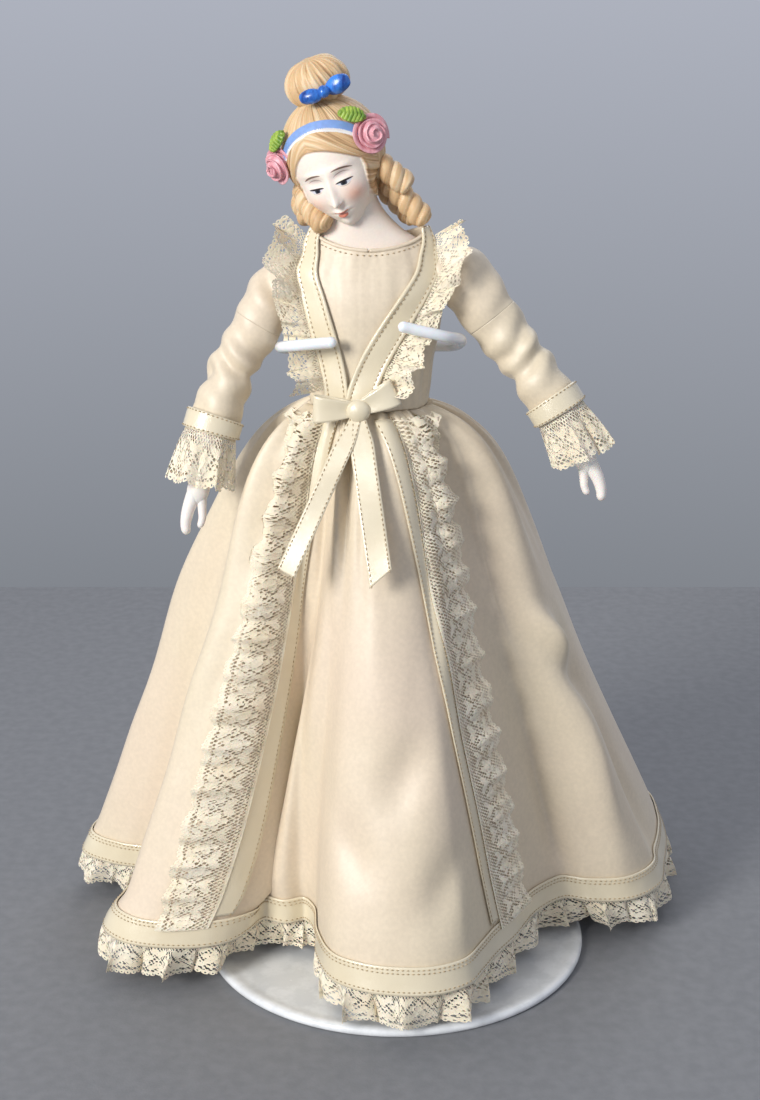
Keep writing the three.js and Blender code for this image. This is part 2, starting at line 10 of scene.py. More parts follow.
import bpy
import numpy as np
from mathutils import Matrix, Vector


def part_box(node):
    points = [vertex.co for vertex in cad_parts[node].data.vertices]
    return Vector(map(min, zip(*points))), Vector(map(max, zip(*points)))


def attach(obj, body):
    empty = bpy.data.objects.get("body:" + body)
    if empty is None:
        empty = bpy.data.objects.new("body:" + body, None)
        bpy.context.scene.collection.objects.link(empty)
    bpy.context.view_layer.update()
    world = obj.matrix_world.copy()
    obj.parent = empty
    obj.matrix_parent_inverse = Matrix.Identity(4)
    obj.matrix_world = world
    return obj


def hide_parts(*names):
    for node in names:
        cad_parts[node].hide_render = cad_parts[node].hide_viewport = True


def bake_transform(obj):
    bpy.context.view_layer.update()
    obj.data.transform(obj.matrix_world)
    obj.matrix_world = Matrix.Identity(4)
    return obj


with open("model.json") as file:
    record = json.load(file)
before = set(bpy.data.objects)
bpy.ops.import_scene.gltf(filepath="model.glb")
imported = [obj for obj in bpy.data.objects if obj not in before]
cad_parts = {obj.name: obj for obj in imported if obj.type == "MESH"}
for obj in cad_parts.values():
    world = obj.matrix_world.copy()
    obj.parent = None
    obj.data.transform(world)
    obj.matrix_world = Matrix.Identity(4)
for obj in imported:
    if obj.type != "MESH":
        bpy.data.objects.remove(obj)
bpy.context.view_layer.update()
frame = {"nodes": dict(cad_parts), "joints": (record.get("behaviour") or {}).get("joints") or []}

MM = 0.001
TAU = 2 * np.pi


# ------------------------------------------------------------------ places from the frame
def box(node):
    """The lowest and highest corners of a CAD node, in millimetres."""
    low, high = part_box(node)
    return np.array(low) / MM, np.array(high) / MM


def middle(node):
    return sum(box(node)) / 2


def pivot(name):
    joint = next(j for j in frame["joints"] if j["name"] == name)
    return np.array(joint["pos_m"]) / MM


POST = middle("inner_rod")[:2]
DOLL = middle("torso")[:2]
WAIST_Z = box("skirt")[1][2]
BASE_R = box("base_disc")[1][0]
BASE_TOP = box("base_disc")[1][2]
HEM_Z = box("hem_lace")[0][2] + 0.7
WAIST = (15.0, 12.0)

# Half sizes of the bodice at each height, as in the CAD: z, across, deep.
BODICE = np.array([
    (159, 15, 12), (168, 16, 11.5), (178, 18, 12), (188, 19, 11.5),
    (194, 19, 9.8), (198, 17, 8.4), (201, 13.5, 6.9),
])

# The gown's lower edge seen from above, as in the CAD: front, left side, back, right side.
HEM_OUTLINE = np.array([
    (1, -59), (11, -58.5), (19.5, -54), (24, -46), (28, -38), (34, -28), (42, -12), (51, -4), (60, -6),
    (71, -5), (80, 3), (84, 19), (87, 38), (85, 58), (71, 71), (52, 76), (32, 70), (10, 77), (-14, 72),
    (-38, 77), (-60, 70), (-80, 58), (-92, 42), (-98, 26), (-88, 18), (-74, 13), (-70, 2), (-79, -10),
    (-85, -21), (-77, -31), (-62, -34), (-51, -32), (-43.5, -24), (-38, -17), (-31, -19), (-25.5, -17),
    (-22, -23), (-21, -38), (-16.5, -51), (-8, -57),
], float)


# ------------------------------------------------------------------ curves
def smooth(x, xs, ys):
    """Cubic interpolation through the points (xs, ys)."""
    xs, ys = np.asarray(xs, float), np.asarray(ys, float)
    slope = np.gradient(ys, xs)
    i = np.clip(np.searchsorted(xs, x) - 1, 0, len(xs) - 2)
    h = xs[i + 1] - xs[i]
    t = np.clip((x - xs[i]) / h, 0, 1)
    return (
        (2 * t**3 - 3 * t**2 + 1) * ys[i] + (t**3 - 2 * t**2 + t) * h * slope[i]
        + (3 * t**2 - 2 * t**3) * ys[i + 1] + (t**3 - t**2) * h * slope[i + 1]
    )


def spline(points, n, closed=False):
    """n evenly spaced points on a smooth curve through the given ones."""
    points = np.asarray(points, float)
    if closed:
        points = np.concatenate([points[-3:], points, points[:4]])
    knots = np.concatenate([[0], np.cumsum(np.linalg.norm(np.diff(points, axis=0), axis=1) ** 0.5)])
    low, high = (knots[3], knots[-4]) if closed else (knots[0], knots[-1])
    fine = np.linspace(low, high, 40 * len(points))
    line = np.stack([smooth(fine, knots, c) for c in points.T], axis=1)
    length = np.concatenate([[0], np.cumsum(np.linalg.norm(np.diff(line, axis=0), axis=1))])
    even = np.linspace(0, length[-1], n + 1)[:-1] if closed else np.linspace(0, length[-1], n)
    return np.stack([np.interp(even, length, c) for c in line.T], axis=1)


def pick(values, index):
    """The rows of values at fractional indices."""
    return np.stack([np.interp(index, np.arange(len(values)), c) for c in values.T], axis=-1)


def length_of(line):
    return float(np.linalg.norm(np.diff(line, axis=0), axis=1).sum())


def unit(v):
    return v / np.maximum(np.linalg.norm(v, axis=-1, keepdims=True), 1e-9)


def frames(line, reference=(1, 0, 0)):
    """The tangent, the sideways and the forward direction at each point of a line."""
    tangent = unit(np.gradient(line, axis=0))
    side = np.asarray(reference, float) - tangent * (tangent @ np.asarray(reference, float))[:, None]
    side = unit(side)
    return tangent, side, np.cross(side, tangent)


def tube(line, across, deep=None, sides=48, reference=(1, 0, 0)):
    """A grid of points around a line. across and deep are half sizes: numbers, or one row for
    each point of the line, or a whole grid."""
    deep = across if deep is None else deep
    turn = np.linspace(0, TAU, sides, endpoint=False)
    _, side, front = frames(line, reference)
    across, deep = (np.atleast_1d(np.asarray(r, float)) for r in (across, deep))
    across, deep = (r[:, None] if r.ndim == 1 else r for r in (across, deep))
    return (
        line[:, None] + side[:, None] * (across * np.sin(turn))[..., None]
        + front[:, None] * (deep * np.cos(turn))[..., None]
    )


def round_ends(n, share, least=0.02):
    """Factors for a radius along a line of n points, which round off both of its ends; share is
    how much of the line each end takes."""
    t = np.linspace(0, 1, n)
    into_end = np.maximum(np.maximum(share - t, t - 1 + share), 0) / share
    return np.sqrt(np.maximum(least, 1 - into_end**2))


def step(x, low, high):
    """0 below low, 1 above high, and smooth between."""
    t = np.clip((x - low) / (high - low), 0, 1)
    return t * t * (3 - 2 * t)


def bell(x, z, x0, z0, sx, sz):
    """A soft hill of height 1 at (x0, z0), with half widths sx and sz."""
    return np.exp(-(((x - x0) / sx) ** 2) - ((z - z0) / sz) ** 2)


def value_noise(x, y, seed=0):
    """Smooth noise from -1 to 1 over the plane, one lump to a unit."""
    table = np.random.default_rng(seed).uniform(-1, 1, (64, 64))
    xi, yi = np.floor(x).astype(int), np.floor(y).astype(int)
    fx, fy = x - xi, y - yi
    fx, fy = fx * fx * (3 - 2 * fx), fy * fy * (3 - 2 * fy)
    at = lambda a, b: table[a % 64, b % 64]
    low = at(xi, yi) * (1 - fx) + at(xi + 1, yi) * fx
    high = at(xi, yi + 1) * (1 - fx) + at(xi + 1, yi + 1) * fx
    return low * (1 - fy) + high * fy


# ------------------------------------------------------------------ meshes
def quads(rows, columns, wrap_rows=False, wrap_columns=False):
    """The faces of a grid of points, facing along rows x columns."""
    down, across = rows - (not wrap_rows), columns - (not wrap_columns)
    i, j = np.meshgrid(np.arange(down), np.arange(across), indexing="ij")
    i2, j2 = (i + 1) % rows, (j + 1) % columns
    corners = (i * columns + j, i2 * columns + j, i2 * columns + j2, i * columns + j2)
    return np.stack(corners, axis=-1).reshape(-1, 4)


def grid_normals(P, wrap_rows=False, wrap_columns=False):
    def slope(axis, wrap):
        if wrap:
            return np.roll(P, -1, axis) - np.roll(P, 1, axis)
        return np.gradient(P, axis=axis)
    return unit(np.cross(slope(0, wrap_rows), slope(1, wrap_columns)))


def cloth(P, look, thickness=0.5, wrap_rows=False, wrap_columns=False):
    """A closed sheet of the given thickness around a grid of points, as (points, faces, look)."""
    rows, columns = P.shape[:2]
    under = rows * columns
    lift = grid_normals(P, wrap_rows, wrap_columns) * thickness / 2
    outer = quads(rows, columns, wrap_rows, wrap_columns)
    faces = [outer, outer[:, ::-1] + under]
    index = np.arange(under).reshape(rows, columns)
    edges = []
    if not wrap_columns:
        edges += [(index[:, 0], wrap_rows), (index[::-1, -1], wrap_rows)]
    if not wrap_rows:
        edges += [(index[0, ::-1], wrap_columns), (index[-1], wrap_columns)]
    for edge, wrap in edges:
        here, there = (edge, np.roll(edge, -1)) if wrap else (edge[:-1], edge[1:])
        faces.append(np.stack([there, here, here + under, there + under], axis=-1))
    points = np.concatenate([(P + lift).reshape(-1, 3), (P - lift).reshape(-1, 3)])
    return points, np.concatenate(faces), look


def solid(P, look, paint=None):
    """A closed solid from the rings of a tube, with a point at each end."""
    rows, columns = P.shape[:2]
    points = np.concatenate([P.reshape(-1, 3), P[0].mean(0)[None], P[-1].mean(0)[None]])
    ring = np.arange(columns)
    ahead = (ring + 1) % columns
    first, tail = rows * columns, (rows - 1) * columns
    body = quads(rows, columns, False, True)[:, ::-1]
    cap = np.stack([np.full(columns, first), ahead, ring], axis=-1)
    lid = np.stack([np.full(columns, first + 1), tail + ring, tail + ahead], axis=-1)
    triangles = np.concatenate([body[:, [0, 1, 2]], body[:, [0, 2, 3]], cap, lid])
    if paint is None:
        return points, triangles, look
    paint = np.concatenate([paint.reshape(-1, 3), paint[0].mean(0)[None], paint[-1].mean(0)[None]])
    return points, triangles, look, paint


def ball(centre, half, rings=24, sides=32):
    """The rings of an ellipsoid from its lowest to its highest."""
    tilt = np.linspace(-np.pi / 2 + 0.06, np.pi / 2 - 0.06, rings)[:, None]
    turn = np.linspace(0, TAU, sides, endpoint=False)
    return np.stack([
        centre[0] + half[0] * np.cos(tilt) * np.sin(turn),
        centre[1] - half[1] * np.cos(tilt) * np.cos(turn),
        centre[2] + half[2] * np.sin(tilt) + 0 * turn,
    ], axis=-1)


def lathe(profile, look, sides=96):
    """A solid of revolution about the z axis, from a profile of (radius, z) that starts and ends
    on the axis."""
    profile = np.asarray(profile, float)
    turn = np.linspace(0, TAU, sides, endpoint=False)
    r, z = profile[:, :1], profile[:, 1:]
    P = np.stack([r * np.sin(turn), -r * np.cos(turn), z + 0 * turn], axis=-1)
    return solid(P[1:-1], look)


THREAD_HALF = 0.2


def stitches(line, up, pitch=1.3):
    """Short threads along a line, half sunk in the cloth; up is the cloth's outward direction."""
    count = max(2, int(length_of(line) / pitch))
    at = np.linspace(0, len(line) - 1, count)
    centre, lift = pick(line, at), unit(pick(up, at))
    ahead = unit(pick(np.gradient(line, axis=0), at))
    side = np.cross(ahead, lift)
    centre = centre + lift * 0.4 * THREAD_HALF
    long, thick = 0.36 * pitch, THREAD_HALF
    corners = np.stack([
        centre + ahead * long, centre - ahead * long, centre + side * thick, centre - side * thick,
        centre + lift * thick, centre - lift * thick,
    ], axis=1)
    octahedron = np.array([
        (0, 2, 4), (2, 1, 4), (1, 3, 4), (3, 0, 4), (2, 0, 5), (1, 2, 5), (3, 1, 5), (0, 3, 5),
    ])
    faces = (octahedron + 6 * np.arange(count)[:, None, None]).reshape(-1, 3)
    return corners.reshape(-1, 3), faces, THREAD


def make(name, parts):
    """One smooth-shaded object from parts of (points in millimetres, faces, material, paint)."""
    parts = parts if isinstance(parts, list) else [parts]
    mesh = bpy.data.meshes.new(name)
    starts = np.cumsum([0] + [len(part[0]) for part in parts])
    points = np.concatenate([part[0].reshape(-1, 3) for part in parts])
    faces = [np.asarray(part[1], np.int64) + start for part, start in zip(parts, starts)]
    sizes = np.concatenate([np.full(len(f), f.shape[1]) for f in faces])
    corners = np.concatenate([f.ravel() for f in faces])
    mesh.vertices.add(len(points))
    mesh.vertices.foreach_set("co", (points * MM).astype(np.float32).ravel())
    mesh.loops.add(len(corners))
    mesh.loops.foreach_set("vertex_index", corners.astype(np.int32))
    mesh.polygons.add(len(sizes))
    mesh.polygons.foreach_set("loop_start", np.concatenate([[0], np.cumsum(sizes)[:-1]]).astype(np.int32))
    mesh.polygons.foreach_set("loop_total", sizes.astype(np.int32))
    mesh.polygons.foreach_set("use_smooth", np.ones(len(sizes), bool))
    looks = list(dict.fromkeys(part[2] for part in parts))
    for look in looks:
        mesh.materials.append(look)
    slots = np.concatenate([np.full(len(f), looks.index(part[2])) for f, part in zip(faces, parts)])
    mesh.polygons.foreach_set("material_index", slots.astype(np.int32))
    if any(len(part) > 3 for part in parts):
        white = [np.ones((len(part[0]), 3)) if len(part) < 4 else part[3].reshape(-1, 3) for part in parts]
        colours = np.concatenate([np.concatenate(white), np.ones((len(points), 1))], axis=1)
        paint = mesh.attributes.new("paint", "FLOAT_COLOR", "POINT")
        paint.data.foreach_set("color", colours.astype(np.float32).ravel())
    mesh.update(calc_edges=True)
    made = bpy.data.objects.new(name, mesh)
    bpy.context.scene.collection.objects.link(made)
    return made


def piece(name, parts, body="figure", stands_for=()):
    """Makes an object, and lets it ride on a body; stands_for are the CAD nodes it replaces."""
    made = make(name, parts)
    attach(made, body)
    stands_for = [stands_for] if isinstance(stands_for, str) else stands_for
    if stands_for:
        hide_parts(*stands_for)
    return made


# ------------------------------------------------------------------ materials
class Look:
    """One material: a Principled shader and short calls that add nodes to it."""

    def __init__(self, name, colour, roughness, **values):
        self.material = bpy.data.materials.new(name)
        self.material.use_nodes = True
        self.tree = self.material.node_tree
        self.shader = self.tree.nodes["Principled BSDF"]
        self.shader.inputs["Base Color"].default_value = (*colour, 1)
        self.shader.inputs["Roughness"].default_value = roughness
        for key, value in values.items():
            self.shader.inputs[key.replace("_", " ")].default_value = value
        self.place = self.node("TexCoord").outputs["Object"]

    def node(self, kind, **settings):
        made = self.tree.nodes.new("ShaderNode" + kind)
        for key, value in settings.items():
            setattr(made, key, value)
        return made

    def link(self, source, target):
        self.tree.links.new(source, target)

    def noise(self, scale, detail=2.0, roughness=0.5, stretch=None):
        """Noise with about scale lumps to a metre, or stretched by three factors."""
        made = self.node("TexNoise")
        made.inputs["Scale"].default_value = scale
        made.inputs["Detail"].default_value = detail
        made.inputs["Roughness"].default_value = roughness
        place = self.place
        if stretch:
            mapping = self.node("Mapping")
            mapping.inputs["Scale"].default_value = stretch
            self.link(place, mapping.inputs["Vector"])
            place = mapping.outputs["Vector"]
        self.link(place, made.inputs["Vector"])
        return made.outputs["Fac"]

    def ramp(self, source, *stops):
        """A colour ramp; each stop is a place from 0 to 1 and a colour."""
        made = self.node("ValToRGB")
        elements = made.color_ramp.elements
        while len(elements) < len(stops):
            elements.new(0.5)
        for element, (at, colour) in zip(elements, stops):
            element.position = at
            element.color = (*colour, 1)
        self.link(source, made.inputs["Fac"])
        return made.outputs["Color"]

    def blend(self, a, b, factor, kind="MIX"):
        made = self.node("Mix", data_type="RGBA", blend_type=kind)
        for socket, value in ((6, a), (7, b), (0, factor)):
            if isinstance(value, (tuple, list)):
                made.inputs[socket].default_value = (*value, 1)
            elif isinstance(value, (int, float)):
                made.inputs[socket].default_value = value
            else:
                self.link(value, made.inputs[socket])
        return made.outputs[2]

    def colour(self, source):
        self.link(source, self.shader.inputs["Base Color"])
        return self

    def roughness(self, source, low, high):
        made = self.node("MapRange")
        made.inputs["To Min"].default_value = low
        made.inputs["To Max"].default_value = high
        self.link(source, made.inputs["Value"])
        self.link(made.outputs["Result"], self.shader.inputs["Roughness"])
        return self

    def bump(self, *layers):
        """Adds bump from (source, depth in millimetres) layers, one on another."""
        normal = None
        for source, depth in layers:
            made = self.node("Bump")
            made.inputs["Strength"].default_value = 1
            made.inputs["Distance"].default_value = depth * MM
            self.link(source, made.inputs["Height"])
            if normal:
                self.link(normal, made.inputs["Normal"])
            normal = made.outputs["Normal"]
        self.link(normal, self.shader.inputs["Normal"])
        return self

    def attribute(self, name):
        made = self.node("Attribute", attribute_name=name)
        return made.outputs["Color"]

    def weave(self, pitch):
        """The fine over-and-under of a cloth: two crossed wave textures, pitch in millimetres."""
        waves = []
        for direction in ("Z", "X"):
            made = self.node("TexWave", bands_direction=direction)
            made.inputs["Scale"].default_value = 0.3142 / (pitch * MM)
            made.inputs["Distortion"].default_value = 0.6
            self.link(self.place, made.inputs["Vector"])
            waves.append(made.outputs["Fac"])
        made = self.node("Math", operation="MULTIPLY")
        self.link(waves[0], made.inputs[0])
        self.link(waves[1], made.inputs[1])
        return made.outputs["Value"]


def satin_look():
    look = Look("satin", (0.74, 0.63, 0.475), 0.32, Sheen_Weight=0.2, Sheen_Roughness=0.4,
                Specular_IOR_Level=0.7, Anisotropic=0.3)
    broad = look.ramp(look.noise(14, 3), (0.3, (0.76, 0.63, 0.485)), (0.7, (0.73, 0.635, 0.46)))
    fine = look.ramp(look.noise(900, 2), (0.35, (0.93, 0.93, 0.93)), (0.7, (1, 1, 1)))
    look.colour(look.blend(broad, fine, 1.0, "MULTIPLY"))
    look.roughness(look.noise(60, 3), 0.38, 0.5)
    return look.bump((look.noise(75, 3, 0.45), 0.45), (look.weave(0.3), 0.02)).material


def ribbon_look():
    look = Look("ribbon", (0.76, 0.67, 0.48), 0.22, Sheen_Weight=0.15, Specular_IOR_Level=0.9,
                Coat_Weight=0.3)
    colour = look.ramp(look.noise(40, 3), (0.3, (0.72, 0.62, 0.43)), (0.7, (0.78, 0.7, 0.52)))
    look.colour(colour).roughness(look.noise(160, 2), 0.16, 0.3)
    return look.bump((look.noise(160, 2), 0.18), (look.weave(0.22), 0.02)).material


def lace_look():
    look = Look("lace", (0.95, 0.84, 0.64), 0.8, Sheen_Weight=0.3, Subsurface_Weight=0.08,
                Subsurface_Scale=0.002)
    look.colour(look.ramp(look.noise(120, 3), (0.3, (0.93, 0.81, 0.59)), (0.7, (0.98, 0.89, 0.71))))
    return look.bump((look.noise(2600, 2), 0.12), (look.weave(0.28), 0.1)).material


def thread_look():
    look = Look("stitch_thread", (0.42, 0.3, 0.15), 0.6)
    look.colour(look.ramp(look.noise(900, 2), (0.35, (0.4, 0.29, 0.16)), (0.7, (0.55, 0.42, 0.25))))
    return look.bump((look.noise(4000, 1), 0.05)).material


def bisque_look():
    """Unglazed porcelain whose painted colours are on the mesh, among them painted shade in the eye sockets
    and in the ringlets' grooves.
    """
    look = Look("bisque", (0.9, 0.84, 0.78), 0.5, Subsurface_Weight=0.12, Subsurface_Scale=0.002,
                Specular_IOR_Level=0.4)
    speckle = look.ramp(look.noise(1500, 3), (0.35, (0.965, 0.965, 0.965)), (0.65, (1, 1, 1)))
    look.colour(look.blend(look.attribute("paint"), speckle, 1.0, "MULTIPLY"))
    look.roughness(look.noise(500, 2), 0.42, 0.56)
    return look.bump((look.noise(2500, 2), 0.012)).material


def paint_look(name, dark, light, roughness):
    """Brushed-on colour: streaks from light to dark."""
    look = Look(name, light, roughness, Subsurface_Weight=0.05, Subsurface_Scale=0.001)
    look.colour(look.ramp(look.noise(500, 4, 0.6, (1, 1, 0.35)), (0.34, dark), (0.62, light)))
    return look.bump((look.noise(1200, 2), 0.02)).material


def enamel_look():
    look = Look("white_enamel", (0.76, 0.77, 0.76), 0.2, Coat_Weight=0.4)
    wear = look.ramp(look.noise(120, 5, 0.6), (0.42, (0.7, 0.72, 0.73)), (0.55, (0.8, 0.82, 0.83)))
    look.colour(wear).roughness(look.noise(90, 3), 0.16, 0.32)
    return look.bump((look.noise(350, 2), 0.03)).material


def vinyl_look():
    look = Look("white_vinyl", (0.82, 0.85, 0.87), 0.16, Subsurface_Weight=0.2,
                Subsurface_Scale=0.0015, Coat_Weight=0.5)
    look.colour(look.ramp(look.noise(200, 3), (0.35, (0.78, 0.81, 0.83)), (0.65, (0.85, 0.88, 0.9))))
    return look.bump((look.noise(450, 2), 0.04)).material


def steel_look():
    look = Look("steel", (0.55, 0.56, 0.57), 0.32, Metallic=1)
    look.colour(look.ramp(look.noise(300, 4), (0.4, (0.46, 0.46, 0.46)), (0.6, (0.6, 0.61, 0.62))))
    return look.bump((look.noise(1500, 3, 0.5, (1, 1, 0.05)), 0.02)).material


def muslin_look():
    look = Look("muslin", (0.8, 0.72, 0.6), 0.85, Sheen_Weight=0.2)
    look.colour(look.ramp(look.noise(300, 3), (0.35, (0.74, 0.66, 0.53)), (0.65, (0.83, 0.76, 0.65))))
    return look.bump((look.weave(0.5), 0.08), (look.noise(200, 2), 0.15)).material


def floor_look():
    look = Look("floor", (0.2, 0.205, 0.215), 0.7)
    look.colour(look.ramp(look.noise(260, 4), (0.35, (0.185, 0.19, 0.2)), (0.65, (0.21, 0.215, 0.225))))
    return look.bump((look.noise(1400, 2), 0.05)).material


SATIN, RIBBON, LACE, THREAD = satin_look(), ribbon_look(), lace_look(), thread_look()
BISQUE, ENAMEL, VINYL = bisque_look(), enamel_look(), vinyl_look()
STEEL, MUSLIN = steel_look(), muslin_look()
BLUE = paint_look("blue_bow", (0.01, 0.04, 0.22), (0.05, 0.24, 0.78), 0.25)
PINK = paint_look("pink_rose", (0.6, 0.24, 0.28), (0.82, 0.46, 0.5), 0.42)
GREEN = paint_look("green_leaf", (0.1, 0.22, 0.02), (0.42, 0.56, 0.09), 0.4)


# ------------------------------------------------------------------ camera, floor and light
CAMERA_PLACE = (-0.00436, -0.4644, 0.2644)
CAMERA_PITCH = 17.6
CAMERA_LENS = 58.9
FLOOR_HALF_WIDTH = 2.0 / MM
FLOOR_BACK = 313
# name, place, side, power and colour of each lamp: the light comes mostly from the left and above.
LAMPS = [
    ("key", (-0.8, -0.9, 0.62), 0.4, 16.5, (1, 0.985, 0.96)),
    ("fill", (0.9, -0.6, 0.5), 0.9, 0.5, (1, 0.97, 0.94)),
    ("rim", (0.3, 0.8, 0.9), 0.7, 3.0, (1, 1, 1)),
]
LAMP_AIM = (0, 0, 0.12)
WALL_LOW, WALL_HIGH = (0.21, 0.225, 0.25, 1), (0.46, 0.485, 0.56, 1)


def make_camera():
    camera = bpy.data.objects.new("camera", bpy.data.cameras.new("camera"))
    camera.location = CAMERA_PLACE
    camera.rotation_euler = (math.radians(90 - CAMERA_PITCH), 0, 0)
    camera.data.sensor_width = 36
    camera.data.lens = CAMERA_LENS
    camera.data.clip_start = 0.01
    bpy.context.scene.collection.objects.link(camera)
    bpy.context.scene.camera = camera


def make_lamp(name, place, size, power, colour):
    light = bpy.data.lights.new(name, "AREA")
    light.shape, light.size, light.size_y = "RECTANGLE", size, size
    light.energy, light.color = power, colour
    lamp = bpy.data.objects.new(name, light)
    lamp.location = place
    lamp.rotation_euler = (Vector(LAMP_AIM) - Vector(place)).to_track_quat("-Z", "Y").to_euler()
    bpy.context.scene.collection.objects.link(lamp)


def make_wall():
    """A world that fades from the lower edge of the wall to its upper one."""
    world = bpy.data.worlds.new("studio")
    world.use_nodes = True
    nodes, links = world.node_tree.nodes, world.node_tree.links
    background = nodes["Background"]
    place = nodes.new("ShaderNodeTexCoord")
    split = nodes.new("ShaderNodeSeparateXYZ")
    fade = nodes.new("ShaderNodeValToRGB")
    fade.color_ramp.elements[0].color = WALL_LOW
    fade.color_ramp.elements[1].color = WALL_HIGH
    stretch = nodes.new("ShaderNodeMapRange")
    stretch.inputs["From Min"].default_value = -0.34
    stretch.inputs["From Max"].default_value = 0.05
    links.new(place.outputs["Generated"], split.inputs["Vector"])
    links.new(split.outputs["Z"], stretch.inputs["Value"])
    links.new(stretch.outputs["Result"], fade.inputs["Fac"])
    links.new(fade.outputs["Color"], background.inputs["Color"])
    background.inputs["Strength"].default_value = 1.0
    bpy.context.scene.world = world


def make_stage():
    make_camera()
    wide, back = FLOOR_HALF_WIDTH, FLOOR_BACK
    corners = np.array([(-wide, -wide, 0), (wide, -wide, 0), (wide, back, 0), (-wide, back, 0)], float)
    floor = make("floor", (corners, np.array([(0, 1, 2, 3)]), floor_look()))
    for lamp in LAMPS:
        make_lamp(*lamp)
    make_wall()
    bpy.context.scene.view_settings.view_transform = "Standard"


make_stage()


# ------------------------------------------------------------------ stand
def make_stand():
    rim, top = BASE_R, BASE_TOP
    profile = [
        (0, 0), (rim - 1.4, 0), (rim - 0.5, 0.15), (rim - 0.1, 0.6), (rim, 1.2), (rim - 0.12, 1.8),
        (rim - 0.6, top - 0.15), (rim - 1.4, top), (rim - 2.4, top - 0.02), (rim - 3.4, top - 0.3),
        (rim - 5, top - 0.4), (rim / 2, top - 0.4), (6, top - 0.4), (0, top - 0.4),
    ]
    piece("fine_base_disc", lathe(profile, ENAMEL, sides=160), "stand", "base_disc")
    for side, name in ((-1, "right"), (1, "left")):
        make_clip_sleeve(side, name)
    for node, look in (
        ("base_screw", STEEL), ("post_tube", ENAMEL), ("post_grommet", VINYL), ("inner_rod", STEEL),
        ("clip_clamp", ENAMEL), ("clip_wire", STEEL), ("torso", MUSLIN), ("thigh_left", MUSLIN),
        ("thigh_right", MUSLIN), ("upper_arm_left", MUSLIN), ("upper_arm_right", MUSLIN),
    ):
        made = frame["nodes"][node]
        made.data.materials.clear()
        made.data.materials.append(look)


# The middle line of each vinyl sleeve round the bodice, from behind to the front.
CLIP_ARMS = {
    "right": [(-24, 10, 170.5), (-27.6, 4, 171.5), (-28.8, -3, 173), (-29.8, -9.5, 174.6), (-26.5, -15, 176),
              (-17.5, -17.6, 177.3)],
    "left": [(10, 9.8, 171), (14.5, 3, 172.5), (16.2, -4, 174.5), (16.2, -9.8, 176.6), (12, -15.9, 178.6),
             (2.4, -18.2, 181.2)],
}
CLIP_START = (9, 13.5, 169.5)
SLEEVE_R = 1.45


def make_clip_sleeve(side, name):
    path = [(POST[0] + side * CLIP_START[0], *CLIP_START[1:])] + CLIP_ARMS[name]
    ahead = unit(np.subtract(path[-1], path[-2])) * 2.4
    line = spline(path + [tuple(np.add(path[-1], ahead))], 120)[3:]
    radius = SLEEVE_R * round_ends(len(line), 0.03)
    rings = tube(line, radius, sides=28, reference=(0, 0, 1))
    piece(f"fine_clip_sleeve_{name}", solid(rings, VINYL), "figure", f"clip_sleeve_{name}")


make_stand()


# ------------------------------------------------------------------ skirt
HEM = spline(HEM_OUTLINE, 2400, closed=True)


def on_skirt(turn, down, plain=False):
    """A point of the skirt: turn is the angle from the front, down is 0 at the waist and 1 at the
    lower edge of the lace."""
    turn, down = np.broadcast_arrays(turn, down)
    share = (turn / TAU) % 1 * len(HEM)
    low = np.floor(share).astype(int) % len(HEM)
    part = (share - np.floor(share))[..., None]
    hem = HEM[low] * (1 - part) + HEM[(low + 1) % len(HEM)] * part
    spread = 0.17 * (1 - np.exp(-down / 0.04)) + 0.83 * down
    x = (DOLL[0] + WAIST[0] * np.sin(turn)) * (1 - spread) + hem[..., 0] * spread
    y = (DOLL[1] - WAIST[1] * np.cos(turn)) * (1 - spread) + hem[..., 1] * spread
    z = WAIST_Z + (HEM_Z - WAIST_Z) * down
    P = np.stack([x, y, z], axis=-1)
    return P if plain else P + skirt_folds(turn, down)


# Soft swells and hollows of the skirt: angle and share of the way down, half sizes, lean, height in mm.
DENTS = [
    (1.00, 0.30, 0.09, 0.24, 0.1, -3.6),
    (1.17, 0.42, 0.07, 0.05, -0.8, 3.4),
    (1.25, 0.51, 0.09, 0.05, -0.8, -2.8),
    (1.12, 0.66, 0.07, 0.14, 0.2, 2.8),
    (0.90, 0.72, 0.06, 0.16, 0.1, -2.6),
    (1.32, 0.72, 0.06, 0.18, 0.0, -2.8),
    (0.36, 0.30, 0.06, 0.20, 0.2, 2.0),
    (0.05, 0.58, 0.10, 0.07, 0.9, -2.0),
    (-0.16, 0.70, 0.10, 0.06, -0.7, -2.2),
    (0.17, 0.76, 0.09, 0.06, 0.8, -2.2),
    (-0.04, 0.42, 0.12, 0.12, 0.0, 1.8),
    (-0.12, 0.16, 0.05, 0.14, 0.0, -2.0),
    (-0.57, 0.56, 0.12, 0.30, 0.3, 7.5),
    (-0.80, 0.66, 0.08, 0.28, 0.35, -7.5),
    (-0.86, 0.82, 0.07, 0.14, 0.3, -5.0),
    (-1.06, 0.60, 0.09, 0.36, 0.2, 3.6),
    (-0.95, 0.20, 0.07, 0.16, 0.2, 2.0),
    (-1.42, 0.58, 0.07, 0.36, 0.0, -8.0),
    (-1.70, 0.45, 0.07, 0.30, 0.0, 2.4),
    (-2.00, 0.36, 0.30, 0.26, 0.0, 6.0),
    (-2.60, 0.50, 0.09, 0.40, 0.1, -3.5),
    (3.05, 0.55, 0.09, 0.40, -0.1, -3.5),
    (2.45, 0.50, 0.09, 0.40, 0.1, -3.5),
    (1.95, 0.50, 0.09, 0.35, 0.0, -3.0),
]


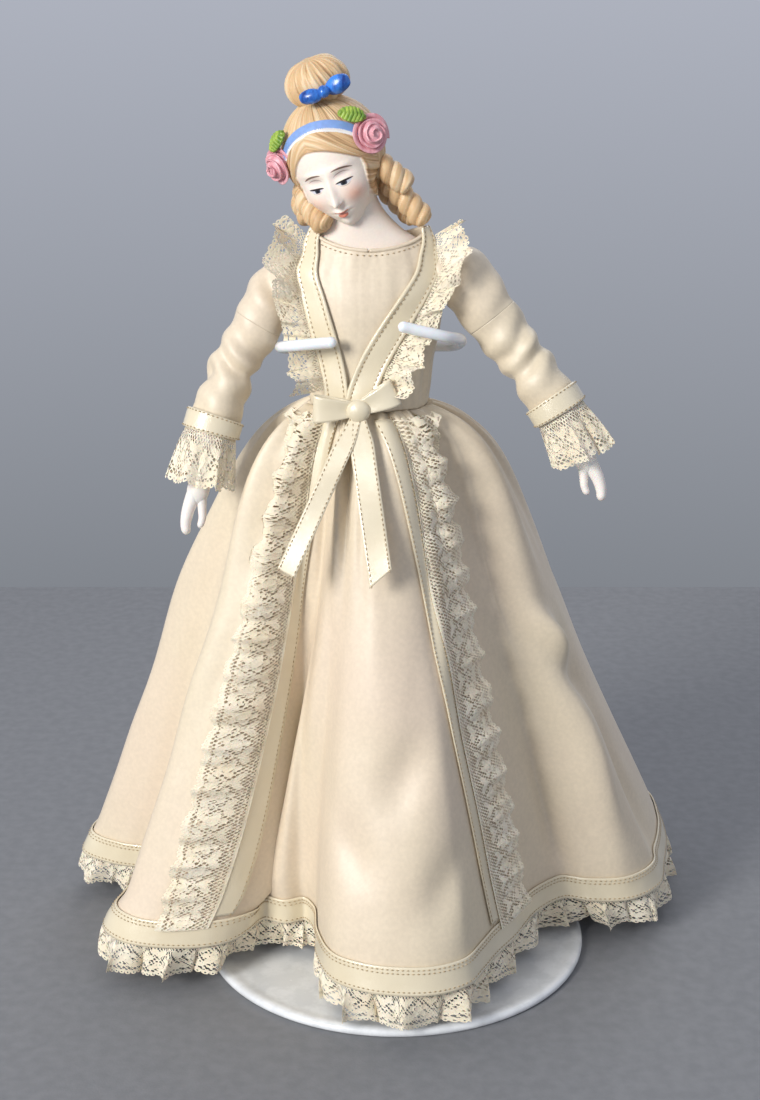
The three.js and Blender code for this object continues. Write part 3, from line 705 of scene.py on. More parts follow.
def skirt_folds(turn, down):
    """The gathers at the waist and the soft creases, as moves outward."""
    warp = turn + 0.12 * np.sin(3 * turn + 1) + 0.07 * np.sin(7 * turn + 2.2)
    fine = np.sin(31 * warp) + 0.5 * np.sin(47 * warp + 1.3)
    broad = np.sin(13 * warp + 0.6) + 0.6 * np.sin(19 * warp + 2.1)
    gathers = 0.75 * np.exp(-down / 0.06) * fine + 1.2 * np.exp(-((down - 0.12) / 0.16) ** 2) * broad
    east, north = 10 + 3 * np.sin(turn), 10 + 3 * np.cos(turn)
    creases = 2.0 * step(down, 0.12, 0.45) * value_noise(east + 1.7 * down, north + 2.6 * down, 3)
    small = 0.5 * step(down, 0.1, 0.4) * value_noise(2.3 * east + 3 * down, 2.3 * north + 7 * down, 5)
    amount = gathers + creases + small
    near = (turn + np.pi) % TAU - np.pi
    for at_turn, at_down, wide, high, lean, depth in DENTS:
        aside = near - at_turn + lean * (down - at_down)
        amount = amount + depth * np.exp(-((aside / wide) ** 2) - ((down - at_down) / high) ** 2)
    amount = amount * (1 - 0.75 * step(down, 0.84, 0.92))
    out = np.stack([np.sin(turn), -np.cos(turn), 0.25 + 0 * turn], axis=-1)
    return out * amount[..., None]


def skirt_normal(turn, down):
    e = 0.004
    across = on_skirt(turn + e, down) - on_skirt(turn - e, down)
    along = on_skirt(turn, down + e) - on_skirt(turn, down - e)
    return unit(np.cross(along, across))


def over_skirt(turn, down, lift):
    return on_skirt(turn, down) + skirt_normal(turn, down) * np.asarray(lift)[..., None]


RIBBON_TOP, RIBBON_END, SATIN_END = 0.882, 0.93, 0.93


def make_skirt():
    turn = np.linspace(0, TAU, 1100, endpoint=False)
    down = np.concatenate([np.linspace(0, 0.08, 26)[:-1], np.linspace(0.08, SATIN_END, 190)])[:, None]
    skirt = piece("gown_skirt", cloth(on_skirt(turn, down), SATIN, 0.45, wrap_columns=True),
                  stands_for="skirt")

    down = np.linspace(RIBBON_TOP, RIBBON_END, 14)[:, None]
    parts = [cloth(over_skirt(turn, down, 0.75 + 0 * down), RIBBON, 0.35, wrap_columns=True)]
    ring = np.append(turn, TAU)
    for row in (RIBBON_TOP + 0.005, RIBBON_TOP + 0.011, RIBBON_END - 0.006):
        row = row + 0 * ring
        parts.append(stitches(over_skirt(ring, row, 0.93 + 0 * ring), skirt_normal(ring, row)))
    ribbon = piece("gown_hem_ribbon", parts, stands_for="hem_ribbon")
    return skirt, ribbon


# ------------------------------------------------------------------ lace
PERIOD = 8.6


def lace_field(s, t, width):
    """How far each point of the flat lace is inside its nearest thread; s runs along it, and t from
    its sewn edge to its scalloped one."""
    x = (s + PERIOD / 2) % PERIOD - PERIOD / 2
    far = s % PERIOD - PERIOD / 2
    edge = width - 1.45 - 1.7 * (1 - np.sqrt(1 - 0.85 * (2 * x / PERIOD) ** 2))
    mesh_size = 1.15
    strands = [np.abs(((s + sign * 0.8 * t) / mesh_size) % 1 - 0.5) * mesh_size / 1.28 for sign in (-1, 1)]
    net = 0.13 - np.minimum(*strands)

    def flower(x, y, core, wave, petals):
        r, angle = np.hypot(x, y), np.arctan2(y, x)
        outline = core + wave * np.cos(petals * angle + np.pi / 2)
        return np.minimum(outline - r, np.abs(r - 0.55 * core) - 0.13)

    def leaf(x, y, tilt, long, wide):
        a, b = x * np.cos(tilt) + y * np.sin(tilt), y * np.cos(tilt) - x * np.sin(tilt)
        return np.minimum(wide * (1 - np.hypot(a / long, b / wide)), np.abs(b) - 0.06)

    def cord(height, thread=0.15):
        return thread - np.abs(t - height)

    swell = np.cos(TAU * x / PERIOD)
    inner = [
        net, cord(0.3, 0.35), cord(1.5 + 0.25 * swell, 0.1),
        flower(x, t - 0.5 * width, 2.15, 0.6, 5),
        flower(far, t - 0.66 * width, 1.25, 0.35, 4),
        leaf(np.abs(x) - 2.9, t - 0.3 * width, 0.7, 1.5, 0.75),
        leaf(np.abs(x) - 2.8, t - 0.7 * width, -0.6, 1.4, 0.7),
        leaf(far, t - 0.36 * width, np.pi / 2, 1.3, 0.6),
        cord(0.43 * width - 0.24 * width * swell, 0.16), cord(0.62 * width + 0.13 * width * swell, 0.18),
    ]
    inside = np.minimum(np.maximum.reduce(inner), edge - t)
    rim = 0.3 - np.abs(t - edge + 0.15)
    pitch = 1.2
    u = (s / pitch % 1 - 0.5) * pitch
    loops = np.minimum(0.17 - np.abs(np.hypot(u, (t - edge - 0.45) * 0.8) - 0.38), t - edge + 0.1)
    return np.maximum.reduce([inside, rim, loops])


def cut_out(s, t, field):
    """The part of a flat grid where field is positive: its points (s, t, field) and triangles."""
    q = quads(*s.shape)
    triangles = np.concatenate([q[:, [0, 1, 2]], q[:, [0, 2, 3]]])
    flat = np.stack([s, t, field], axis=-1).reshape(-1, 3)
    f = flat[:, 2]
    inside = f[triangles] > 0
    count = inside.sum(axis=1)

    def odd_first(chosen, odd):
        """The chosen triangles, turned so that their odd corner comes first."""
        turn = np.argmax(inside[chosen] == odd, axis=1)
        return np.take_along_axis(triangles[chosen], (turn[:, None] + np.arange(3)) % 3, axis=1)

    one, two = odd_first(count == 1, True), odd_first(count == 2, False)
    crossed = np.sort(np.concatenate([one[:, :2], one[:, ::2], two[:, :2], two[:, ::2]]), axis=1)
    edges, place = np.unique(crossed, axis=0, return_inverse=True)
    a, b = edges.T
    share = (f[a] / (f[a] - f[b]))[:, None]
    points = np.concatenate([flat, flat[a] + share * (flat[b] - flat[a])])
    p, q, r, w = np.split(place.ravel() + len(flat), np.cumsum([len(one), len(one), len(two)]))
    faces = np.concatenate([
        triangles[count == 3], np.stack([one[:, 0], p, q], axis=1),
        np.stack([r, two[:, 1], two[:, 2]], axis=1), np.stack([r, two[:, 2], w], axis=1),
    ])
    used, faces = np.unique(faces.ravel(), return_inverse=True)
    return points[used], faces.reshape(-1, 3)


def lace(place, length, width, fullness, swing, wave, lift=0.5, flare=0.0, seed=0, part=(0, 1),
         cell=0.3, lean=0.4):
    """A strip of gathered lace as (points, faces, look), with its flat size in millimetres and
    the share of it that is thread. place(u, t) is its surface before the gathers, with u from 0
    to 1 along it; fullness is flat length to sewn length, swing how far the gathers stand out,
    wave their spacing, lean how far they tip along the strip, and flare how far the free edge
    stands away."""
    flat_length = length * fullness
    low, high = part
    along, across = np.arange(low * flat_length, high * flat_length, cell), np.arange(0, width + cell, cell)
    s, t = np.meshgrid(along, across, indexing="ij")
    cut, faces = cut_out(s, t, lace_field(s, t, width))
    s, t, field = cut.T
    u = s / flat_length
    e = 1e-4
    P = place(u, t)
    along = (place(u + e, t) - P) / e
    N, T = unit(np.cross(along, place(u, t + 0.05) - P)), unit(along)
    share = t / width
    sewn = u * length
    phase = TAU * sewn / wave + 1.7 * value_noise(sewn / 17, sewn * 0, seed)
    size = 1 + 0.45 * value_noise(sewn / 9, sewn * 0 + 3, seed)
    reach = swing * share ** 0.9 * size
    out = lift + flare * share**2 + reach * np.sin(phase) + 0.3 * swing * share * np.sin(2.7 * phase + 1)
    out = out + 0.12 * np.clip(field, 0, 0.4) / 0.4
    points = P + N * out[:, None] + T * (lean * reach * np.sin(2 * phase))[:, None]
    corners = cut[faces][..., :2]
    one, two = corners[:, 1] - corners[:, 0], corners[:, 2] - corners[:, 0]
    thread = np.abs(one[:, 0] * two[:, 1] - one[:, 1] * two[:, 0]).sum() / 2
    flat = (width, (high - low) * flat_length)
    return (points, faces, LACE), flat, thread


def lace_piece(name, strip, rests_on, stands_for, body="figure"):
    """A piece from a strip of lace."""
    part, flat, thread = strip
    made = piece(name, part, body, stands_for)
    return made


# ------------------------------------------------------------------ trimmings of the skirt
# Each seam runs from the waist to the hem: side, angle at the waist and at the hem, how it bows.
SEAMS = {
    "left": dict(side=1, waist=0.16, hem=0.46, bow=0.75, lace=16.0),
    "right": dict(side=-1, waist=-0.62, hem=-1.02, bow=0.8, lace=13.0),
}
SEAM_START, SEAM_END = 0.012, 0.875
RIBBON_HALF = 2.1


def across_seam(seam, down, offset):
    """A point of the skirt beside a seam, offset in millimetres away from the front."""
    turn = seam["waist"] + (seam["hem"] - seam["waist"]) * down ** seam["bow"]
    spread = 0.17 * (1 - np.exp(-down / 0.04)) + 0.83 * down
    size = 15 + 75 * spread
    return turn + seam["side"] * offset / size


def make_seam(name, skirt):
    seam = SEAMS[name]
    down = np.linspace(SEAM_START, SEAM_END, 160)[:, None]
    across = np.linspace(-RIBBON_HALF, RIBBON_HALF, 9)
    turn = across_seam(seam, down, across)
    P = over_skirt(turn, down + 0 * turn, 0.75 + 0.12 * (across / RIBBON_HALF) ** 2 + 0 * turn)
    if seam["side"] < 0:
        P = P[:, ::-1]
    parts = [cloth(P, RIBBON, 0.35)]
    for offset in (0.45 - RIBBON_HALF, RIBBON_HALF - 0.45):
        turn = across_seam(seam, down[:, 0], offset)
        line = over_skirt(turn, down[:, 0], 0.98 + 0 * turn)
        parts.append(stitches(line, skirt_normal(turn, down[:, 0])))
    ribbon = piece(f"gown_skirt_ribbon_{name}", parts, stands_for=f"skirt_ribbon_{name}")

    def place(u, t):
        down = SEAM_START + (SEAM_END - SEAM_START + 0.02) * u
        return on_skirt(across_seam(seam, down, 1.6 + t), down)

    length = length_of(place(np.linspace(0, 1, 200), np.zeros(200)))
    side = seam["side"]
    strip = lace(place, length, seam["lace"], 1.16, 1.0, 10.5, lift=1.3 * side, flare=1.0 * side,
                 seed=11 + side, cell=0.28, lean=0.12)
    lace_piece(f"gown_skirt_lace_{name}", strip, skirt, f"skirt_lace_{name}")
    return ribbon


def make_hem_lace(skirt):
    def place(u, t):
        turn = np.pi + u * TAU
        down = SATIN_END - 0.012 + t / 180
        P = on_skirt(turn, down, plain=True)
        P[..., 2] = np.maximum(P[..., 2], 0)
        return P

    length = length_of(place(np.linspace(0, 1, 3000), np.zeros(3000)))
    for quarter in range(4):
        strip = lace(place, length, 13.5, 1.45, 3.2, 14.0, lift=0.1, flare=3.0, seed=4,
                     part=(quarter / 4, (quarter + 1) / 4))
        lace_piece(f"gown_hem_lace_{quarter + 1}", strip, skirt, "hem_lace" if quarter == 0 else ())


skirt, hem_ribbon = make_skirt()
ribbons = [make_seam(name, skirt) for name in SEAMS]
make_hem_lace(skirt)


# ------------------------------------------------------------------ bodice
VISIBLE_BODICE = np.concatenate([BODICE[:-1], [(201, 16.0, 7.2), (204.5, 14.2, 6.4)]])
BODICE_BOTTOM = 158.6


def on_bodice(turn, z, offset=0.0):
    across = smooth(z, VISIBLE_BODICE[:, 0], VISIBLE_BODICE[:, 1]) + offset
    deep = smooth(z, VISIBLE_BODICE[:, 0], VISIBLE_BODICE[:, 2]) + offset
    x, y, z = np.broadcast_arrays(DOLL[0] + across * np.sin(turn), DOLL[1] - deep * np.cos(turn), z)
    return np.stack([x, y, z], axis=-1)


def neckline(turn):
    return 199.2 + 3.8 * np.sin(turn) ** 2 + 1.6 * (1 - np.cos(turn)) / 2


def bodice_ribbon_middle(side, v):
    share = v ** (1.45 - 0.15 * side)
    turn = (-0.35 + 0.2 * side) * (1 - share) + 1.05 * side * share
    return turn, 161.5 + 37.7 * v


def make_bodice():
    turn = np.linspace(0, TAU, 420, endpoint=False)
    up = np.linspace(0, 1, 110)[::-1, None]
    z = BODICE_BOTTOM + (neckline(turn) - BODICE_BOTTOM) * up
    pull = 0.22 * value_noise(8 * np.sin(turn) + 0 * z, z / 9 + 2 * np.cos(turn), 8)
    creases = 0.35 * np.exp(-((z - 165) / 6) ** 2) * np.sin(22 * turn + 1.5 * np.sin(3 * turn))
    parts = [cloth(on_bodice(turn, z, pull + creases), SATIN, 0.45, wrap_columns=True)]
    ring = np.linspace(0, TAU, 260)
    edge = on_bodice(ring, neckline(ring) + 0.1, 0.25)
    parts.append(solid(tube(edge[:-1], 0.5, sides=12, reference=(0, 0, 1)), SATIN))
    under = on_bodice(ring, neckline(ring) - 1.1, 0.35)
    parts.append(stitches(under, unit(under - np.array([*DOLL, 195.0])), 1.1))
    bodice = piece("gown_bodice", parts, stands_for="bodice")
    ribbons = [make_bodice_ribbon(name, side) for name, side in (("left", 1), ("right", -1))]
    for name, side in (("left", 1), ("right", -1)):
        make_frill(name, side, bodice)
    for i in range(3):
        low, high = box(f"back_snap_{i + 1}")
        x, y, z = (low + high) / 2
        disc = solid(ball((x, y - 0.1, z), (1.75, 0.4, 1.75)), STEEL)
        dome = solid(ball((x, y + 0.2, z), (0.75, 0.5, 0.75)), STEEL)
        parts = [disc, dome]
        piece(f"fine_back_snap_{i + 1}", parts, stands_for=f"back_snap_{i + 1}")


def make_bodice_ribbon(name, side):
    v = np.linspace(0, 1.14, 150)[:, None]
    half = 3.3
    across = np.linspace(-half, half, 25)
    turn, z = bodice_ribbon_middle(side, v)
    aside = np.abs(across)
    piping = 0.4 * step(aside, half - 1.1, half - 0.5) - 0.3 * step(aside, half - 0.25, half)
    crossing = (0.5 + 0.3 * side) * np.exp(-((v / 0.24) ** 2))
    lift = 0.75 + piping + 0.15 * np.sin(18 * v + side) * (1 - (across / half) ** 2) + crossing
    P = on_bodice(turn + across / 15, z + 0 * across, lift)
    parts = [cloth(P[::-1], RIBBON, 0.35)]
    for offset in (-half + 1.15, half - 1.15):
        line = on_bodice(turn[:, 0] + offset / 15, z[:, 0], lift[:, 4] + 0.2)
        parts.append(stitches(line, line - np.array([*DOLL, 180.0]) * (1, 1, 0) - line * (0, 0, 1), 1.25))
    return piece(f"gown_bodice_ribbon_{name}", parts, stands_for=f"bodice_ribbon_{name}")


def make_frill(name, side, bodice):
    width = 11.5
    clip_z = CLIP_ARMS[name][-1][2]

    def place(u, t):
        v = 0.06 + 1.02 * u
        turn, z = bodice_ribbon_middle(side, np.maximum(v, 0))
        flat = on_bodice(turn + side * 2.6 / 15, z, 0.7)
        share = t / width
        reach = (10.5 - 2.4 * step(v, 0.95, 1.1)) * share
        rise = 0.05 + 0.62 * step(v, 0.3, 1.05)
        free = np.clip(np.abs(z - clip_z) / 11, 0.06, 1)
        forward = reach * (0.75 - 0.4 * rise) * free
        return flat + np.stack([side * reach * (0.82 - 0.1 * rise), -forward, reach * rise], axis=-1)

    line = place(np.linspace(0, 1, 200), np.zeros(200))
    strip = lace(place, length_of(line), width, 1.75, 1.9, 8.0, lift=0.5 * side, flare=0.3 * side,
                 seed=21 + side, cell=0.25)
    lace_piece(f"gown_shoulder_frill_{name}", strip, bodice, f"shoulder_frill_{name}")


make_bodice()


# ------------------------------------------------------------------ sleeves, cuffs and hands
WHITE_BISQUE = np.array([0.86, 0.80, 0.74])
ARMS = {
    "right": dict(side=-1, size=0.93, line=[(-47.8, -8, 154), (-51.5, -11, 139), (-54, -13, 125.6)],
                  sleeve=19.5, lace=32),
    "left": dict(side=1, size=1.0, line=[(41.4, -8, 158.8), (49.2, -10, 145), (52.3, -12, 134.5)],
                 sleeve=18, lace=30),
}


def make_arm(name):
    arm = ARMS[name]
    side, body = arm["side"], f"forearm_{name}"
    shoulder, elbow = pivot(f"shoulder_{name}_swing"), pivot(f"elbow_{name}_bend")
    forearm = spline([elbow] + arm["line"], 400)
    reach = length_of(forearm)

    def at(mm):
        """The point of the forearm's middle line at a distance from the elbow."""
        return forearm[int(np.clip(mm / reach, 0, 1) * 399)]

    upper = elbow - shoulder
    inside = shoulder - 0.8 * upper * (1, 1, 0.1)
    line = spline([inside, shoulder, shoulder + 0.5 * upper, elbow, at(9), at(arm["sleeve"])], 220)
    t = np.linspace(0, 1, 220)[:, None]
    turn = np.linspace(0, TAU, 84, endpoint=False)
    radius = smooth(t[:, 0], [0, 0.15, 0.3, 0.5, 0.68, 0.85, 1], [5.0, 7.4, 7.7, 7.0, 7.0, 6.9, 6.6])[:, None]
    radius = radius * arm["size"]
    elbow_t = (np.abs(line - elbow).sum(1).argmin()) / 219
    crumple = np.exp(-((t - elbow_t) / 0.12) ** 2) + 0.9 * np.exp(-((t - 0.2) / 0.1) ** 2) + 0.25
    creases = np.sin(46 * t + 2.2 * np.sin(turn + 0.8 * side) + 1.4 * np.cos(2 * turn) + side)
    creases = creases + 0.8 * np.sin(27 * t - 2.4 * np.cos(turn + 1.1) + 2.0)
    soft = value_noise(t * 7 + 0 * turn, 4 + 1.6 * np.sin(turn) + t, 30 + side)
    radius = radius + 0.62 * crumple * (creases - 1.0) + 0.7 * (soft - 0.4)
    rings = tube(line, radius, sides=84, reference=(0, -1, 0))
    split = np.abs(line - shoulder - 0.5 * upper).sum(axis=1).argmin()
    ends = {"upper": rings[: split + 1][::-1], "lower": rings[split:][::-1]}
    def blended(part):
        sleeve = make(f"gown_{part}_sleeve_{name}", cloth(ends[part], SATIN, 0.45, wrap_columns=True))
        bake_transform(sleeve)
        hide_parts(f"{part}_sleeve_{name}")
        return sleeve

    up = blended("upper")
    low = blended("lower")

    a, b = arm["sleeve"] - 5.2, arm["sleeve"] - 0.4
    band_line = np.stack([at(mm) for mm in np.linspace(a, b, 12)])
    girth = 7.35 + 0.12 * np.sin(3 * turn) + 0 * band_line[:, :1]
    band = tube(band_line, girth, sides=84, reference=(0, -1, 0))
    parts = [cloth(band[::-1], RIBBON, 0.4, wrap_columns=True)]
    for row in (1, 10):
        ring = np.concatenate([band[row], band[row][:1]])
        parts.append(stitches(ring + 0.22 * unit(ring - band_line[row]), ring - band_line[row], 1.2))
    cuff = piece(f"gown_cuff_ribbon_{name}", parts, body, f"cuff_ribbon_{name}")

    width = 13.0
    fine = spline([at(mm) for mm in np.linspace(arm["sleeve"] - 1, arm["lace"] + 1.5, 10)], 60)
    _, across, front = frames(fine, (0, -1, 0))

    def place(u, t):
        index = np.clip(t / width, 0, 1) * 59
        r = 6.7 + 2.1 * (t / width) ** 0.9
        aside, ahead = (r * np.sin(TAU * u))[..., None], (r * np.cos(TAU * u))[..., None]
        return pick(fine, index) + pick(across, index) * aside - pick(front, index) * ahead

    strip = lace(place, TAU * 7, width, 1.55, 1.5, 7.4, lift=0.2, flare=0.8, seed=50 + side, cell=0.25)
    lace_piece(f"gown_cuff_lace_{name}", strip, low, f"cuff_lace_{name}", body)
    make_hand(name, forearm, side, body)


def make_hand(name, forearm, side, body):
    def at(share, across=0.0, forward=0.0):
        return forearm[int(share * 399)] + np.array([across, forward, 0])

    def limb(points, across, deep, count=70, sides=36):
        line = spline(points, count)
        share = np.linspace(0, 1, count)
        across, deep = np.interp(share, *across), np.interp(share, *deep)
        rings = tube(line, across * round_ends(count, 0.12), deep * round_ends(count, 0.12), sides)
        return solid(rings, BISQUE, np.broadcast_to(WHITE_BISQUE, rings.shape))

    wrist = 0.76
    bone = limb([at(0.1), at(0.4), at(wrist), at(wrist + 0.07, side * 0.3)], ([0, 0.8, 1], [4.2, 2.9, 3.0]),
                ([0, 0.8, 1], [4.2, 2.8, 2.4]))
    palm = wrist - 0.02
    finger_line = [at(palm, side * 0.5), at(0.86, side * 1.7, -0.3), at(0.94, side * 1.75, -0.4),
                   at(1, side * 1.0, -0.5)]
    fingers = limb(finger_line, ([0, 0.4, 1], [2.3, 1.75, 1.15]), ([0, 0.4, 1], [2.2, 1.9, 1.4]))
    thumb_line = [at(palm, -side * 0.6), at(0.85, -side * 1.9, -0.3), at(0.91, -side * 2.35, -0.5),
                  at(0.96, -side * 2.0, -0.7)]
    thumb = limb(thumb_line, ([0, 0.5, 1], [1.6, 1.15, 0.85]), ([0, 0.5, 1], [1.7, 1.25, 0.95]))
    piece(f"fine_forearm_{name}", [bone, fingers, thumb], body, f"forearm_{name}")


for name in ARMS:
    make_arm(name)


# ------------------------------------------------------------------ lower legs and shoes
SHOE_BROWN = np.array([0.05, 0.025, 0.015])


def make_lower_leg(name):
    low, high = box(f"lower_leg_{name}")
    x, y, knee = (low[0] + high[0]) / 2, DOLL[1], high[2]
    count, sides = 120, 48
    z = np.linspace(knee - 0.3, low[2] + 6, count)
    line = np.stack([x + 0 * z, y + 0 * z, z], axis=-1)
    share = np.linspace(0, 1, count)
    radius = smooth(share, [0, 0.3, 0.75, 0.9, 1], [4.4, 5.0, 3.3, 3.2, 3.0]) * round_ends(count, 0.04)
    leg = tube(line, radius[:, None], sides=sides)
    shoe = ball((x, y - 5.5, low[2] + 3.6), (3.3, 9, 3.4))
    sole = shoe[..., 2] < low[2] + 0.6
    shoe[..., 2] = np.where(sole, low[2] + 0.5, shoe[..., 2])
    heel = ball((x, y + 1.2, low[2] + 2.2), (2.2, 2.4, 2.0))
    parts = [solid(leg, BISQUE, np.broadcast_to(WHITE_BISQUE, leg.shape))]
    parts += [solid(P, BISQUE, np.broadcast_to(SHOE_BROWN, P.shape)) for P in (shoe, heel)]
    piece(f"fine_lower_leg_{name}", parts, f"leg_{name}", f"lower_leg_{name}")


for name in ("left", "right"):
    make_lower_leg(name)


# ------------------------------------------------------------------ waist bow
def make_waist_bow():
    knot = np.array([-10.0, -17.8, 160.2])

    def loop(side, rise, long, flare):
        a = np.linspace(0, TAU, 90, endpoint=False)[:, None]
        w = np.linspace(-1, 1, 12)
        out = long * (1 - np.cos(a)) / 2
        share = out / long
        half = 1.3 + flare * share**0.7
        ahead = np.array([side * np.cos(rise), 0, np.sin(rise)])
        across = np.array([-side * np.sin(rise), 0, np.cos(rise)])
        bulge = -1.9 * np.sin(a) * (0.4 + 0.6 * share) + 0.25 * np.cos(3 * w) * (1 - share)
        P = knot + out[..., None] * ahead + (w * half)[..., None] * across
        P = P + np.stack([0 * bulge, bulge - 0.4 * share, 0 * bulge], axis=-1)
        return cloth(P, RIBBON, 0.35, wrap_rows=True)

    def tail(end, slant):
        v = np.linspace(0, 1, 90)[:, None]
        w = np.linspace(-1, 1, 11)
        end = np.array(end, float)
        v_end = v * (1 + slant * w * v**6)
        sag = np.stack([0 * v_end, -1.2 * np.sin(np.pi * v_end), 0 * v_end], axis=-1)
        P = knot + np.array([0, -0.3, -1.0]) + v_end[..., None] * (end - knot) + sag
        half = 1.7 + 1.35 * step(v, 0, 0.22)
        P = P + (w * half)[..., None] * np.array([1, 0, 0.25])
        ripple = 0.35 * np.sin(9 * v + end[0]) * (w + 0.5)
        P[..., 1] += ripple * step(v, 0.1, 0.4)
        return cloth(P, RIBBON, 0.35), P

    parts = [loop(-1, 0.02, 11.2, 2.3), loop(1, 0.45, 10.6, 2.2)]
    for end, slant in (((-28.0, -34.5, 123), 0.05), ((-4.2, -37.5, 122.5), -0.045)):
        strip, P = tail(end, slant)
        parts.append(strip)
        for column in (1, 9):
            line = P[:, column] + np.array([0, -0.2, 0])
            parts.append(stitches(line, np.broadcast_to(np.array([0, -1.0, 0.3]), line.shape), 1.25))
    parts.append(solid(ball(knot + np.array([0.2, -0.9, -0.2]), (3.1, 2.0, 2.9)), RIBBON))
    return piece("gown_waist_bow", parts, stands_for="waist_bow")


make_waist_bow()


# ------------------------------------------------------------------ head
def tone(*rgb):
    """A colour from its 0 to 255 screen values."""
    c = np.array(rgb) / 255
    return np.where(c <= 0.04045, c / 12.92, ((c + 0.055) / 1.055) ** 2.4)


SKIN, BLUSH, LIP = tone(245, 232, 219), tone(235, 175, 148), tone(222, 124, 98)
HAIR_LIGHT, HAIR, HAIR_DARK = tone(228, 203, 166), tone(212, 178, 134), tone(150, 108, 70)
HEAD_PLACE = np.array([-15.2, -4.5, 220.4])
HEAD_BOW, HEAD_LEAN, HEAD_TURN = np.radians([10, -20, -15])


def turned(axis, angle):
    c, s = math.cos(angle), math.sin(angle)
    i, j = [k for k in range(3) if k != axis]
    m = np.eye(3)
    m[i, i] = m[j, j] = c
    m[i, j], m[j, i] = (s, -s) if axis == 1 else (-s, s)
    return m


HEAD_TURNED = turned(1, HEAD_LEAN) @ turned(2, HEAD_TURN) @ turned(0, HEAD_BOW)


def head_to_world(P):
    return P @ HEAD_TURNED.T + HEAD_PLACE


def mix(a, b, share):
    share = np.clip(share, 0, 1)[..., None]
    return a * (1 - share) + b * share


def stroke(x, y, x0, y0, half_long, half_thick, bow=0.0, tilt=0.0):
    """1 inside a soft painted stroke along x, bowed upwards in the middle, else towards 0."""
    a = (x - x0) * math.cos(tilt) + (y - y0) * math.sin(tilt)
    b = (y - y0) * math.cos(tilt) - (x - x0) * math.sin(tilt) - bow * (1 - (a / half_long) ** 2)
    taper = np.sqrt(np.clip(1 - (a / half_long) ** 2, 0, 1))
    return step(half_thick * taper + 0.06 - np.abs(b), 0, 0.12) * (np.abs(a) < half_long)


def ray_to(direction, start, centre, half):
    """How far along each direction from start the surface of an ellipsoid is."""
    d, o = direction / half, (start - centre) / half
    a, b, c = (d * d).sum(-1), (d * o).sum(-1), (o * o).sum() - 1
    return (-b + np.sqrt(np.maximum(b * b - a * c, 0))) / a


def hair_paint(across, along, seed):
    """Brushed hair: fine strokes that run along one direction."""
    lines = value_noise(across, along, seed) + 0.6 * value_noise(2.3 * across + 5, 1.3 * along, seed + 1)
    colour = mix(np.broadcast_to(HAIR, (*lines.shape, 3)), HAIR_LIGHT, step(lines, 0, 0.9))
    return mix(colour, HAIR_DARK, 0.6 * step(-lines, 0.45, 1.0)), lines


def hairline(x):
    return 7.2 - np.where(x > -2.5, 0.047, 0.14) * (x + 2.5) ** 2


# Bumps and dips of the face: place across and up, half sizes and height. The first list is the
# nose, lips and chin; the second is the eye, brow, nostril, cheek and lip of each side.
MIDDLE_BUMPS = [
    (0, -2.6, 1.0, 3.0, 0.7), (0, -5.5, 1.15, 1.0, 1.9), (0, -4.3, 0.9, 1.3, 0.7),
    (0, -8.6, 2.2, 0.55, 0.55), (0, -10.0, 1.5, 0.6, 0.65), (0, -9.25, 2.4, 0.28, -0.3),
    (0, -11.1, 1.8, 0.5, -0.4), (0, -12.7, 2.2, 1.3, 0.7), (0, -7.3, 0.4, 0.6, -0.15),
]
SIDE_BUMPS = [
    (3.6, -0.5, 2.5, 1.5, -0.85), (3.9, -1.2, 1.7, 0.8, 0.55), (3.8, 1.7, 2.6, 0.8, 0.3),
    (1.25, -6.0, 0.55, 0.5, 0.4), (4.8, -5.2, 2.4, 2.2, 0.45), (0.8, -8.3, 0.9, 0.4, 0.4),
]


